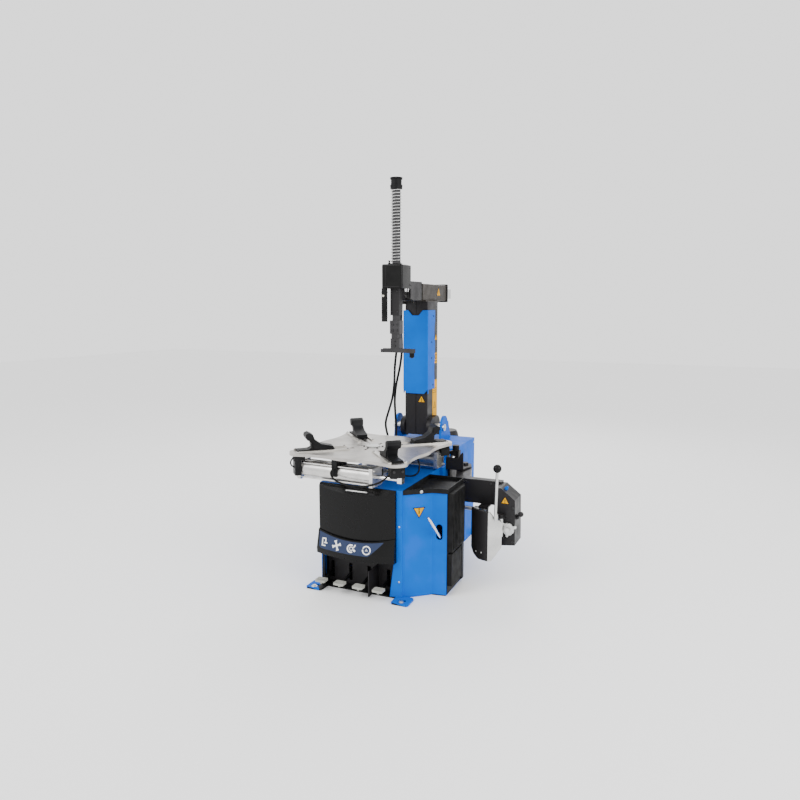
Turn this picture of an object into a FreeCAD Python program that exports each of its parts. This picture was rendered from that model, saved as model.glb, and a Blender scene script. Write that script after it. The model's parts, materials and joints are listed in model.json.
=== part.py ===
import FreeCAD, Part
import math
import os
from FreeCAD import Vector

# Tilt-back column tyre changer. Millimetres. X to the right, Y to the back, Z up.
# The origin is on the floor, straight below the turntable's axis.

# ---- cabinet ----
CABINET_LEFT = -165
CABINET_RIGHT = 260
CABINET_FRONT = -241
CABINET_BACK = 251
CABINET_TOP = 520
SHEET = 4
BASE_PLATE = 6
FRONT_POST = 28
COVER_RIGHT = CABINET_RIGHT - FRONT_POST + 1
SEAM_MIDDLE = 268
SEAM_END = 295
BEZEL_BOTTOM = 176
BEZEL_RIDGE = 200

# ---- rear box that carries the column ----
BOX_LEFT = -160
BOX_RIGHT = 278
BOX_FRONT = 255
BOX_STEP = 434
BOX_BACK = 790
BOX_TOP = 585
FOOT_OUT = 92

# ---- air preparation unit (its knob's centre in plan) ----
REGULATOR = (322, 326)

# ---- side housing with its tray ----
SIDE_OUT = 436
SIDE_BACK = 100
TRAY_BOTTOM = 497
TRAY_LIP = 22
SLOT_X = 401
SLOT_Y = -127
SLOT_Z = 310

# ---- turntable ----
TABLE_TOP = 658
TABLE_PLATE = 14
TIP_RADIUS = 418
TABLE_TURN = -3
JAW_HALF = 25
JAW_REST = 268
SLOT_WIDTH = 20
CYLINDER_OFFSET = 238
CYLINDER_Z = 574
CYLINDER_RADIUS = 41
CAP_HALF = 45
TIE_OFFSET = 35

# ---- gearbox, motor and belt ----
GEAR_Z = 478
WORM_X = -80
WHEEL_RADIUS = 62
WORM_RADIUS = 16
MOTOR_Z = 176
MOTOR_X = -74
BELT_Y = -160
WORM_PULLEY = 28
MOTOR_PULLEY = 20

# ---- column and sliding arm ----
COLUMN_HALF = 68
COLUMN_FRONT = 558
COLUMN_DEPTH = 163
COLUMN_BOTTOM = 622
COLUMN_TOP = 1378
TILT_Y = 612
TILT_Z = 664
CLEVIS_Y = 743
CLEVIS_Z = 693
PIN_RADIUS = 12
RUNNING = 0.05
GUIDE_FRONT = 517
GUIDE_BACK = 898
GUIDE_HALF = 55
GUIDE_BOTTOM = 1383
GUIDE_TOP = 1475
ARM_HALF = 30
ARM_Z = 1427
ARM_BACK = 1046

# ---- vertical shaft and mounting head ----
SHAFT_Y = 284
SHAFT_FLATS = 41
SHAFT_TOP = 1955
CAP_TOP = 2000
SPRING_BOTTOM = 1570
SPRING_TOP = 1944
SPRING_RADIUS = 27.5
SPRING_WIRE = 4
SPRING_TURNS = 24
HOUSING_BOTTOM = 1442
HOUSING_TOP = 1565
HEAD_TOP = 1277

# ---- bead breaker ----
ROD_Y = 142
ROD_Z = 358
ROD_RADIUS = 10
ROD_END = 534
NUT_END = 508
BARREL_RADIUS = 70
TRUNNION_X = 200
TRUNNION_RADIUS = 10
ARM_PIVOT_X = 345
ARM_PIVOT_Y = 400
BEAM_BOTTOM = 380
BEAM_TOP = 500
BLADE_PIN_X = 640
BLADE_PIN_Y = 66

# ---- pedals ----
PEDAL_X = (-137, -38, 62, 165)
PEDAL_AXIS_Y = -110
PEDAL_AXIS_Z = 78
PEDAL_FRONT = -306
PEDAL_PAD_Z = 46

# ---- free hoses beside the column: where they enter the box (x, y) ----
HOSE_DIAMETER = 13
COIL_RUNS = 10
HOSE_ENDS = ((-148, 500), (-100, 502))

X_AXIS = Vector(1, 0, 0)
Y_AXIS = Vector(0, 1, 0)
Z_AXIS = Vector(0, 0, 1)


# ---------------------------------------------------------------- helpers

def save(name, shape):
    shape.exportStep("parts/" + name + ".step")


def box(x0, x1, y0, y1, z0, z1):
    return Part.makeBox(x1 - x0, y1 - y0, z1 - z0, Vector(x0, y0, z0))


def rod(radius, start, end):
    a = Vector(*start)
    b = Vector(*end)
    return Part.makeCylinder(radius, (b - a).Length, a, b - a)


def ring(outer, inner, start, end):
    return rod(outer, start, end).cut(rod(inner, start, end))


def ball(radius, centre):
    return Part.makeSphere(radius, Vector(*centre))


def join(*shapes):
    whole = shapes[0].multiFuse(list(shapes[1:]))
    return whole.removeSplitter()


def polygon(points, direction):
    wire = Part.makePolygon([Vector(*p) for p in points + points[:1]])
    return Part.Face(wire).extrude(Vector(*direction))


def prism_z(points, z0, z1):
    return polygon([(x, y, z0) for x, y in points], (0, 0, z1 - z0))


def prism_x(points, x0, x1):
    return polygon([(x0, y, z) for y, z in points], (x1 - x0, 0, 0))


def prism_y(points, y0, y1):
    return polygon([(x, y0, z) for x, z in points], (0, y1 - y0, 0))


def hexagon(flats, z0, z1, x, y):
    corner = flats / 2 / math.cos(math.radians(30))
    points = []
    for step in range(6):
        turn = math.radians(60 * step)
        points.append((x + corner * math.cos(turn), y + corner * math.sin(turn)))
    return prism_z(points, z0, z1)


def soften(shape, radius, direction):
    edges = []
    for edge in shape.Edges:
        if len(edge.Vertexes) != 2:
            continue
        run = edge.Vertexes[1].Point - edge.Vertexes[0].Point
        if run.Length > 0 and abs(run.dot(direction)) > 0.999 * run.Length:
            edges.append(edge)
    return shape.makeFillet(radius, edges)


def hex_screw(x, y, z, direction, size):
    head = Part.makeCylinder(size, size * 0.7, Vector(x, y, z), direction)
    socket = Part.makeCylinder(size * 0.5, size * 0.4, Vector(x, y, z) + direction * size * 0.4, direction)
    return head.cut(socket)


def turned(shape, degrees, x=0, y=0):
    copy = shape.copy()
    copy.rotate(Vector(x, y, 0), Z_AXIS, degrees)
    return copy


def hose(points, diameter, name):
    """A tube of straight runs joined by arcs as large as the shorter run beside each point allows."""
    route = [Vector(*p) for p in points]
    edges = []
    start = route[0]
    radii = []
    for before, corner, after in zip(route, route[1:], route[2:]):
        incoming = (corner - before).normalize()
        outgoing = (after - corner).normalize()
        turn = incoming.getAngle(outgoing)
        trim = 0.45 * min((corner - before).Length, (after - corner).Length)
        radius = trim / math.tan(turn / 2)
        radii.append(radius)
        first = corner - incoming * trim
        last = corner + outgoing * trim
        towards = (outgoing - incoming).normalize()
        middle = corner + towards * (radius / math.cos(turn / 2) - radius)
        edges.append(Part.makeLine(start, first))
        edges.append(Part.Arc(first, middle, last).toShape())
        start = last
    edges.append(Part.makeLine(start, route[-1]))
    path = Part.Wire(edges)
    section = Part.Wire(Part.makeCircle(diameter / 2, route[0], route[1] - route[0]))
    tube = path.makePipeShell([section], True, False)
    expected = math.pi * diameter ** 2 / 4 * path.Length
    print(name, "length", round(path.Length), "radii", [round(r) for r in radii],
          "volume ratio", round(tube.Volume / expected, 3))
    return tube


def coil_spring(radius, wire, length, turns):
    """A coil up the Z axis, swept along short straight runs with mitred corners."""
    points = []
    for step in range(turns * COIL_RUNS + 1):
        turn = 2 * math.pi * step / COIL_RUNS
        points.append(Vector(radius * math.cos(turn), radius * math.sin(turn), length * turn / (2 * math.pi * turns)))
    section = Part.Wire(Part.makeCircle(wire / 2, points[0], points[1] - points[0]))
    return Part.makePolygon(points).makePipeShell([section], True, False, 1)


# ---------------------------------------------------------------- cabinet

def foot(x, y, way_x, way_y):
    xs = sorted((x, x + way_x * 84))
    ys = sorted((y, y + way_y * 84))
    tab = soften(box(xs[0], xs[1], ys[0], ys[1], 0, 10), 10, Z_AXIS)
    middle_x = x + way_x * 46
    middle_y = y + way_y * 46
    slot = join(box(middle_x - 11, middle_x + 11, middle_y - 7, middle_y + 7, -1, 11),
                rod(7, (middle_x - 11, middle_y, -1), (middle_x - 11, middle_y, 11)),
                rod(7, (middle_x + 11, middle_y, -1), (middle_x + 11, middle_y, 11)))
    return tab.cut(slot)


def base_plate():
    plate = box(CABINET_LEFT, CABINET_RIGHT, CABINET_FRONT, CABINET_BACK, 0, BASE_PLATE)
    rear = box(BOX_LEFT, BOX_RIGHT, CABINET_BACK - 1, BOX_BACK, 0, BASE_PLATE)
    side = prism_z([(CABINET_RIGHT - 1, -222), (366, -130), (SIDE_OUT - 3, -120),
                    (SIDE_OUT - 3, SIDE_BACK), (CABINET_RIGHT - 1, SIDE_BACK)], 0, BASE_PLATE)
    feet = [foot(CABINET_RIGHT - 30, CABINET_FRONT + 20, 1, -1),
            foot(CABINET_LEFT + 30, CABINET_FRONT + 20, -1, -1),
            foot(CABINET_LEFT + 30, BOX_BACK - 20, -1, 1),
            foot(CABINET_RIGHT - 30, BOX_BACK - 20, 1, 1)]
    standing = join(box(CABINET_LEFT, CABINET_RIGHT, CABINET_FRONT, CABINET_BACK + 9, BASE_PLATE, 20),
                    box(BOX_LEFT, BOX_RIGHT, BOX_FRONT, BOX_BACK, BASE_PLATE, 20),
                    prism_z(side_outline(0), BASE_PLATE, 20))
    return join(plate, rear, side, *[tab.cut(standing) for tab in feet])


def left_cover():
    panel = box(CABINET_LEFT, CABINET_LEFT + SHEET, CABINET_FRONT + 4, CABINET_BACK, BASE_PLATE, CABINET_TOP - SHEET)
    for row in range(7):
        z = 120 + row * 26
        vent = soften(box(CABINET_LEFT - 1, CABINET_LEFT + 5, -60, 80, z, z + 8), 3.5, X_AXIS)
        panel = panel.cut(vent)
    return panel


def right_panel():
    panel = box(CABINET_RIGHT - SHEET, CABINET_RIGHT, CABINET_FRONT + 4, CABINET_BACK, BASE_PLATE, CABINET_TOP - SHEET)
    x0, x1 = CABINET_RIGHT - 9, CABINET_RIGHT + 9
    swing = join(rod(15, (x0, ROD_Y - 3, ROD_Z), (x1, ROD_Y - 3, ROD_Z)),
                 rod(15, (x0, ROD_Y + 25, ROD_Z), (x1, ROD_Y + 25, ROD_Z)),
                 box(x0, x1, ROD_Y - 3, ROD_Y + 25, ROD_Z - 15, ROD_Z + 15))
    return panel.cut(swing)


def trunnion_plates():
    """Two plates off the right panel that the bead breaker's cylinder swings between."""
    plates = []
    for z in (275, 431):
        plate = box(TRUNNION_X - 20, CABINET_RIGHT - SHEET, ROD_Y - 20, ROD_Y + 20, z, z + 10)
        plates.append(plate.cut(rod(TRUNNION_RADIUS + RUNNING, (TRUNNION_X, ROD_Y, z - 1), (TRUNNION_X, ROD_Y, z + 11))))
    return plates


def corner_post(left, right, inner_left, inner_right):
    front = box(left, right, CABINET_FRONT, CABINET_FRONT + 4, BASE_PLATE, CABINET_TOP - SHEET)
    web = box(inner_left, inner_right, CABINET_FRONT + 4, CABINET_FRONT + 30, BASE_PLATE, CABINET_TOP - SHEET)
    return join(front, web)


def right_post():
    post = corner_post(CABINET_RIGHT - FRONT_POST, CABINET_RIGHT, CABINET_RIGHT - 8, CABINET_RIGHT - 4)
    gusset = prism_y([(CABINET_RIGHT - 62, BASE_PLATE), (CABINET_RIGHT - FRONT_POST, BASE_PLATE),
                      (CABINET_RIGHT - FRONT_POST, 176), (CABINET_RIGHT - 40, 176)],
                     CABINET_FRONT, CABINET_FRONT + 4)
    return join(post, gusset)


def left_post():
    return corner_post(CABINET_LEFT, CABINET_LEFT + 16, CABINET_LEFT + 4, CABINET_LEFT + 8)


def cabinet_chassis():
    return join(base_plate(), right_panel(), divider_panel(), left_post(), right_post(), top_plate(),
                *trunnion_plates())


def top_plate():
    plate = box(CABINET_LEFT, CABINET_RIGHT, CABINET_FRONT, CABINET_BACK, CABINET_TOP - SHEET, CABINET_TOP)
    return plate.cut(rod(58, (0, 0, CABINET_TOP - 9), (0, 0, CABINET_TOP + 9)))


def divider_panel():
    return box(CABINET_LEFT + SHEET, CABINET_RIGHT - SHEET, CABINET_BACK - SHEET, CABINET_BACK,
               BASE_PLATE, CABINET_TOP - SHEET)


def bowed_wire(left, right, depth, end_depth, z):
    """The outline in plan of a block whose front bows forward."""
    ends = [Vector(left, CABINET_FRONT, z), Vector(right, CABINET_FRONT, z)]
    shoulders = [Vector(left, CABINET_FRONT - end_depth, z), Vector(right, CABINET_FRONT - end_depth, z)]
    crown = Vector((left + right) / 2, CABINET_FRONT - depth, z)
    return Part.Wire([Part.makeLine(ends[0], shoulders[0]),
                      Part.Arc(shoulders[0], crown, shoulders[1]).toShape(),
                      Part.makeLine(shoulders[1], ends[1]),
                      Part.makeLine(ends[1], ends[0])])


def below_seam(lift):
    """Everything under the curved seam between the cover and the bezel, which dips in the middle."""
    left, right, y = CABINET_LEFT - 30, COVER_RIGHT + 30, CABINET_FRONT - 90
    seam = Part.Arc(Vector(left, y, SEAM_END + 7 + lift), Vector((left + right) / 2, y, SEAM_MIDDLE + lift),
                    Vector(right, y, SEAM_END + 7 + lift)).toShape()
    floor = [Vector(right, y, 100), Vector(left, y, 100)]
    sides = [Part.makeLine(Vector(right, y, SEAM_END + 7 + lift), floor[0]), Part.makeLine(*floor),
             Part.makeLine(floor[1], Vector(left, y, SEAM_END + 7 + lift))]
    return Part.Face(Part.Wire([seam] + sides)).extrude(Vector(0, 100, 0))


def cover_slope(drop):
    """The space over the cover's sloping upper face."""
    back, front, top = CABINET_FRONT - 3, CABINET_FRONT - 70, CABINET_TOP - 1
    return prism_x([(back, top - drop), (back, top + 5), (front, top + 5), (front, top - drop - 76)],
                   CABINET_LEFT - 5, COVER_RIGHT + 5)


def cover_block(inset):
    """The cover's outer block, or its hollow when inset is the wall."""
    wire = bowed_wire(CABINET_LEFT + inset, COVER_RIGHT - inset, 34 - inset, 14 - inset, SEAM_MIDDLE - 10)
    block = Part.Face(wire).extrude(Vector(0, 0, CABINET_TOP - 1 - inset - SEAM_MIDDLE + 10))
    return block.cut(below_seam(inset)).cut(cover_slope(1.6 * inset))


def front_cover():
    return cover_block(0).cut(cover_block(4))


def bezel_block(inset):
    """The bezel's outer block, or its hollow when inset is the wall: a skirt under a sloping face."""
    left, right = CABINET_LEFT - 10 + inset, COVER_RIGHT - inset
    low = bowed_wire(left, right, 62 - inset, 26 - inset, BEZEL_BOTTOM + inset)
    ridge = bowed_wire(left, right, 64 - inset, 28 - inset, BEZEL_RIDGE)
    top = bowed_wire(left + 8, right, 36 - inset, 16 - inset, SEAM_END + 10)
    block = join(Part.makeLoft([low, ridge], True, True), Part.makeLoft([ridge, top], True, True))
    return block.common(below_seam(-0.5 - inset))


def control_bezel():
    return bezel_block(0).cut(bezel_block(4))


def kick_plate():
    """The panel behind the pedals, with a slot for each pedal and a blade between two of them."""
    plate = box(CABINET_LEFT + SHEET, CABINET_RIGHT - SHEET, -180, -176, BASE_PLATE, 200)
    for x in PEDAL_X:
        plate = plate.cut(box(x - 9, x + 9, -190, -170, 24, 110))
    divider = box(108, 113, -286, -179, BASE_PLATE, 130)
    return join(plate, divider)


def side_outline(grow):
    return [(CABINET_RIGHT, -225 - grow), (368 + grow / 2, -133 - grow),
            (SIDE_OUT + grow, -123 - grow), (SIDE_OUT + grow, SIDE_BACK + grow),
            (CABINET_RIGHT, SIDE_BACK + grow)]


def side_housing():
    outer = prism_z(side_outline(0), BASE_PLATE, TRAY_BOTTOM)
    inner = prism_z([(CABINET_RIGHT - 1, -218), (366, -128), (SIDE_OUT - 4, -118.6),
                     (SIDE_OUT - 4, SIDE_BACK - 4), (CABINET_RIGHT - 1, SIDE_BACK - 4)],
                    BASE_PLATE - 1, TRAY_BOTTOM + 1)
    return outer.cut(inner).cut(lever_slot(15, 38, 60))


def lever_slot(half_width, half_height, depth):
    middle = box(SLOT_X - half_width, SLOT_X + half_width, SLOT_Y - depth / 2, SLOT_Y + depth / 2,
                 SLOT_Z - half_height + half_width, SLOT_Z + half_height - half_width)
    low = rod(half_width, (SLOT_X, SLOT_Y - depth / 2, SLOT_Z - half_height + half_width),
              (SLOT_X, SLOT_Y + depth / 2, SLOT_Z - half_height + half_width))
    high = rod(half_width, (SLOT_X, SLOT_Y - depth / 2, SLOT_Z + half_height - half_width),
               (SLOT_X, SLOT_Y + depth / 2, SLOT_Z + half_height - half_width))
    return join(middle, low, high)


def side_tray():
    rim = prism_z(side_outline(6), TRAY_BOTTOM, TRAY_BOTTOM + TRAY_LIP)
    well = prism_z([(CABINET_RIGHT + 4, -214), (367, -133), (SIDE_OUT + 2, -122),
                    (SIDE_OUT + 2, SIDE_BACK + 2), (CABINET_RIGHT + 4, SIDE_BACK + 2)],
                   TRAY_BOTTOM + 4, TRAY_BOTTOM + TRAY_LIP + 1)
    backing = box(SIDE_OUT, SIDE_OUT + 4, -122, SIDE_BACK, BASE_PLATE + 4, TRAY_BOTTOM + 2)
    strip = box(SIDE_OUT + 4, SIDE_OUT + 12, 66, SIDE_BACK - 4, 16, TRAY_BOTTOM - 4)
    return join(rim.cut(well), backing, strip)


def side_pads():
    x0 = SIDE_OUT + 4
    upper = box(x0, x0 + 22, -118, 62, 216, TRAY_BOTTOM - 1)
    for row in range(8):
        y = -104 + row * 21
        upper = upper.cut(box(x0 + 17, x0 + 23, y, y + 8, 222, TRAY_BOTTOM - 8))
    lower = soften(box(x0, x0 + 20, -118, 20, 49, 206), 6, X_AXIS)
    return Part.makeCompound([upper, lower])


def rear_box():
    outer = prism_x([(BOX_FRONT, BASE_PLATE), (BOX_BACK, BASE_PLATE), (BOX_BACK, BOX_TOP), (BOX_STEP, BOX_TOP),
                     (BOX_STEP, CABINET_TOP), (BOX_FRONT, CABINET_TOP)], BOX_LEFT, BOX_RIGHT)
    inner = prism_x([(BOX_FRONT + 5, BASE_PLATE - 1), (BOX_BACK - 5, BASE_PLATE - 1), (BOX_BACK - 5, BOX_TOP - 6),
                     (BOX_STEP + 5, BOX_TOP - 6), (BOX_STEP + 5, CABINET_TOP - 5), (BOX_FRONT + 5, CABINET_TOP - 5)],
                    BOX_LEFT + 5, BOX_RIGHT - 5)
    shell = outer.cut(inner)
    shell = shell.cut(rod(14, (0, CLEVIS_Y, BOX_TOP - 9), (0, CLEVIS_Y, BOX_TOP + 9)))
    return join(shell, *column_lugs())


def column_lugs():
    plates = []
    for side in (-1, 1):
        x0, x1 = sorted((side * 134, side * 146))
        crown = rod(50, (x0, TILT_Y + 26, TILT_Z + 14), (x1, TILT_Y + 26, TILT_Z + 14))
        plate = join(prism_x([(575, BOX_TOP), (740, BOX_TOP), (700, 690), (590, 690)], x0, x1), crown)
        plates.append(plate.cut(rod(PIN_RADIUS, (x0 - 1, TILT_Y, TILT_Z), (x1 + 1, TILT_Y, TILT_Z))))
    return plates


def column_pivot_pin():
    pin = rod(PIN_RADIUS, (-158, TILT_Y, TILT_Z), (158, TILT_Y, TILT_Z))
    heads = []
    for side in (-1, 1):
        x0, x1 = sorted((side * 146, side * 156))
        heads.append(rod(20, (x0, TILT_Y, TILT_Z), (x1, TILT_Y, TILT_Z)))
    return Part.makeCompound([join(pin, *heads)] + pivot_spacers())


def pivot_spacers():
    spacers = []
    for side in (-1, 1):
        x0, x1 = sorted((side * (FOOT_OUT + 0.5), side * 134))
        spacers.append(ring(19, PIN_RADIUS + 0.1, (x0, TILT_Y, TILT_Z), (x1, TILT_Y, TILT_Z)))
    return spacers


def tilt_cylinder():
    barrel = rod(34, (0, CLEVIS_Y, 240), (0, CLEVIS_Y, BOX_TOP - 6))
    bore = rod(30, (0, CLEVIS_Y, 255), (0, CLEVIS_Y, BOX_TOP - 20))
    gland = rod(8 + RUNNING, (0, CLEVIS_Y, BOX_TOP - 21), (0, CLEVIS_Y, BOX_TOP))
    ear = box(-10, 10, CLEVIS_Y - 16, CLEVIS_Y + 16, BASE_PLATE, 240)
    return join(barrel.cut(bore).cut(gland), ear)


def rear_side_panel():
    return prism_y([(BOX_RIGHT, 505), (374, 505), (374, 594), (368, 602), (346, 568), (BOX_RIGHT, 568)], 294, 298)


def breaker_pivot_bracket():
    plates = []
    for z0, z1 in ((362, 376), (504, 512)):
        front = 298 if z0 > BEAM_TOP else 350
        plate = prism_z([(BOX_RIGHT, front), (372, front), (386, ARM_PIVOT_Y), (372, 436), (BOX_RIGHT, 470)], z0, z1)
        plates.append(plate)
    web = box(BOX_RIGHT, BOX_RIGHT + 10, 330, 470, 376, 504)
    pin = rod(14, (ARM_PIVOT_X, ARM_PIVOT_Y, 352), (ARM_PIVOT_X, ARM_PIVOT_Y, 518))
    head = hexagon(40, 512, 524, ARM_PIVOT_X, ARM_PIVOT_Y)
    return join(plates[0], web, plates[1], rear_side_panel(), pin, head)


def air_tank():
    x, y, radius = 72, 872, 75
    body = rod(radius, (x, y, 110), (x, y, 560))
    dome = ball(radius, (x, y, 560))
    flat = box(x - 80, x + 80, y - 80, y + 80, 480, 602)
    base = rod(radius - 12, (x, y, 84), (x, y, 112))
    return Part.makeCompound([join(body, dome.common(flat), base)] + tank_straps())


def tank_straps():
    straps = []
    for z in (180, 430):
        strap = ring(79, 75.1, (72, 872, z), (72, 872, z + 26))
        stay = box(40, 104, BOX_BACK, 802, z, z + 26).cut(rod(75.1, (72, 872, z - 1), (72, 872, z + 27)))
        straps.append(join(strap, stay))
    return straps


def air_regulator():
    x, y = REGULATOR
    body = soften(box(x - 22, x + 22, y - 22, y + 22, 570, 602), 5, Z_AXIS)
    stay = join(box(BOX_RIGHT, x - 20, y - 8, y + 8, 580, 596), box(BOX_RIGHT, BOX_RIGHT + 4, y - 18, y + 18, 512, 600))
    port = rod(8, (x, y + 20, 586), (x, y + 44, 586))
    bowl = join(rod(17, (x, y, 530), (x, y, 570)), rod(5, (x, y, 522), (x, y, 530)))
    return Part.makeCompound([join(body, stay, port), bowl])


def regulator_knob():
    x, y = REGULATOR
    knob = rod(18, (x, y, 602.2), (x, y, 630))
    for step in range(12):
        turn = math.radians(30 * step)
        groove = rod(2.4, (x + 18.6 * math.cos(turn), y + 18.6 * math.sin(turn), 601),
                     (x + 18.6 * math.cos(turn), y + 18.6 * math.sin(turn), 626))
        knob = knob.cut(groove)
    return knob


def power_inlet():
    nut = rod(14, (-100, BOX_BACK, 300), (-100, BOX_BACK + 12, 300))
    nose = Part.makeCone(11, 8, 20, Vector(-100, BOX_BACK + 12, 300), Y_AXIS)
    bore = rod(5, (-100, BOX_BACK - 1, 300), (-100, BOX_BACK + 40, 300))
    return join(nut, nose).cut(bore)


# ---------------------------------------------------------------- drive inside the cabinet

def gearbox_housing():
    bowl = rod(88, (0, 0, 444), (0, 0, CABINET_TOP - SHEET))
    worm_case = box(WORM_X - 26, WORM_X + 30, -120, 100, 452, 504)
    neck = rod(56, (0, 0, CABINET_TOP - SHEET), (0, 0, 598))
    flange = rod(75, (0, 0, CABINET_TOP), (0, 0, CABINET_TOP + 14))
    whole = join(bowl, worm_case, neck, flange)
    whole = whole.cut(rod(70, (0, 0, 454), (0, 0, 506)))
    union = join(rod(30, (0, 0, 430), (0, 0, 446)), rod(6, (24, 0, 437), (52, 0, 437)))
    whole = join(whole, union).cut(rod(14 + RUNNING, (0, 0, 433), (0, 0, 450)))
    whole = whole.cut(rod(25 + RUNNING, (0, 0, 443.7), (0, 0, 600)))
    return whole.cut(rod(WORM_RADIUS + 3, (WORM_X, -108, GEAR_Z), (WORM_X, 88, GEAR_Z))) \
        .cut(rod(10 + RUNNING, (WORM_X, -130, GEAR_Z), (WORM_X, 110, GEAR_Z)))


def worm_shaft():
    shaft = rod(10, (WORM_X, BELT_Y - 14, GEAR_Z), (WORM_X, 96, GEAR_Z))
    worm = rod(WORM_RADIUS, (WORM_X, -60, GEAR_Z), (WORM_X, 60, GEAR_Z))
    for step in range(12):
        y = -55 + step * 10
        worm = worm.cut(ring(WORM_RADIUS + 2, WORM_RADIUS - 4, (WORM_X, y - 2, GEAR_Z), (WORM_X, y + 2, GEAR_Z)))
    return join(shaft, worm, pulley(WORM_X, GEAR_Z, WORM_PULLEY))


def pulley(x, z, radius):
    rim = rod(radius, (x, BELT_Y - 12, z), (x, BELT_Y + 12, z))
    for side in (-1, 1):
        y0, y1 = sorted((BELT_Y + side * 12, BELT_Y + side * 15))
        rim = join(rim, rod(radius + 8, (x, y0, z), (x, y1, z)))
    return rim


def drive_belt():
    """Round two pulleys: the outer loop less the inner loop."""
    def loop(low_radius, high_radius):
        span = math.hypot(MOTOR_X - WORM_X, GEAR_Z - MOTOR_Z)
        lean = math.atan2(WORM_X - MOTOR_X, GEAR_Z - MOTOR_Z)
        spread = math.asin((high_radius - low_radius) / span)
        points = []
        for side, x, z, radius in ((1, MOTOR_X, MOTOR_Z, low_radius), (1, WORM_X, GEAR_Z, high_radius),
                                   (-1, WORM_X, GEAR_Z, high_radius), (-1, MOTOR_X, MOTOR_Z, low_radius)):
            along = -math.sin(spread) * radius
            across = side * math.cos(spread) * radius
            points.append((x + along * math.sin(lean) + across * math.cos(lean),
                           z + along * math.cos(lean) - across * math.sin(lean)))
        y0, y1 = BELT_Y - 10, BELT_Y + 10
        return join(rod(low_radius, (MOTOR_X, y0, MOTOR_Z), (MOTOR_X, y1, MOTOR_Z)),
                    rod(high_radius, (WORM_X, y0, GEAR_Z), (WORM_X, y1, GEAR_Z)),
                    prism_y(points, y0, y1))
    return loop(MOTOR_PULLEY + 6, WORM_PULLEY + 6).cut(loop(MOTOR_PULLEY + 0.3, WORM_PULLEY + 0.3))


def drive_motor():
    case = rod(62, (MOTOR_X, -118, MOTOR_Z), (MOTOR_X, 90, MOTOR_Z))
    for step in range(18):
        turn = math.radians(20 * step)
        x = MOTOR_X + 62 * math.cos(turn)
        z = MOTOR_Z + 62 * math.sin(turn)
        case = case.cut(rod(3.5, (x, -100, z), (x, 72, z)))
    feet = box(MOTOR_X - 50, MOTOR_X + 50, -10, 84, BASE_PLATE, MOTOR_Z - 55)
    return join(case, feet.cut(box(MOTOR_X - 36, MOTOR_X + 36, -11, 85, BASE_PLATE + 10, MOTOR_Z - 70)))\
        .cut(rod(12 + RUNNING, (MOTOR_X, -130, MOTOR_Z), (MOTOR_X, 60, MOTOR_Z)))


def motor_shaft():
    return join(rod(12, (MOTOR_X, BELT_Y - 14, MOTOR_Z), (MOTOR_X, 58, MOTOR_Z)),
                pulley(MOTOR_X, MOTOR_Z, MOTOR_PULLEY))


def bead_cylinder():
    x0, x1 = -140, TRUNNION_X + 5
    body = rod(BARREL_RADIUS, (x0, ROD_Y, ROD_Z), (x1, ROD_Y, ROD_Z))
    bore = rod(BARREL_RADIUS - 5, (x0 + 14, ROD_Y, ROD_Z), (x1 - 14, ROD_Y, ROD_Z))
    gland = rod(ROD_RADIUS + RUNNING, (x1 - 15, ROD_Y, ROD_Z), (x1 + 1, ROD_Y, ROD_Z))
    pins = []
    for z0, z1 in ((275, ROD_Z - BARREL_RADIUS + 3), (ROD_Z + BARREL_RADIUS - 3, 441)):
        pins.append(rod(TRUNNION_RADIUS, (TRUNNION_X, ROD_Y, z0), (TRUNNION_X, ROD_Y, z1)))
    return join(body.cut(bore).cut(gland), *pins)


def breaker_rod():
    shaft = rod(ROD_RADIUS, (-80, ROD_Y, ROD_Z), (ROD_END - 18, ROD_Y, ROD_Z))
    piston = rod(BARREL_RADIUS - 5.3, (-100, ROD_Y, ROD_Z), (-78, ROD_Y, ROD_Z))
    nut = polygon([(NUT_END - 20, ROD_Y + 16 * math.cos(math.radians(60 * k)),
                    ROD_Z + 16 * math.sin(math.radians(60 * k))) for k in range(6)], (20, 0, 0))
    eye = ring(24, 14.5, (ROD_END, ROD_Y, ROD_Z - 11), (ROD_END, ROD_Y, ROD_Z + 11))
    return join(shaft, piston, nut, eye)


def pedal_valves():
    valves = []
    for x in PEDAL_X:
        valve = soften(box(x - 20, x + 20, -86, -40, 46, 106), 4, Y_AXIS)
        port = rod(6, (x, -40, 90), (x, -24, 90))
        valves.append(join(valve, port))
    return valves


def pedal_frame():
    rail = box(CABINET_LEFT + SHEET, 222, -86, -36, BASE_PLATE, 46)
    ends = []
    for x in (CABINET_LEFT + SHEET, 212):
        ends.append(box(x, x + 10, -128, -86, BASE_PLATE, 96))
    frame = join(rail.cut(box(CABINET_LEFT + SHEET + 5, 217, -80, -42, BASE_PLATE - 1, 40)), *ends)
    shaft = rod(8, (CABINET_LEFT + SHEET, PEDAL_AXIS_Y, PEDAL_AXIS_Z), (222, PEDAL_AXIS_Y, PEDAL_AXIS_Z))
    return Part.makeCompound([join(frame, shaft)] + pedal_valves() + pedal_springs())


def pedal_springs():
    springs = []
    for x in PEDAL_X:
        spring = coil_spring(12, 3, 30, 6)
        spring.rotate(Vector(0, 0, 0), Y_AXIS, 90)
        spring.translate(Vector(x + 13, PEDAL_AXIS_Y, PEDAL_AXIS_Z))
        springs.append(spring)
    return springs


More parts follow.
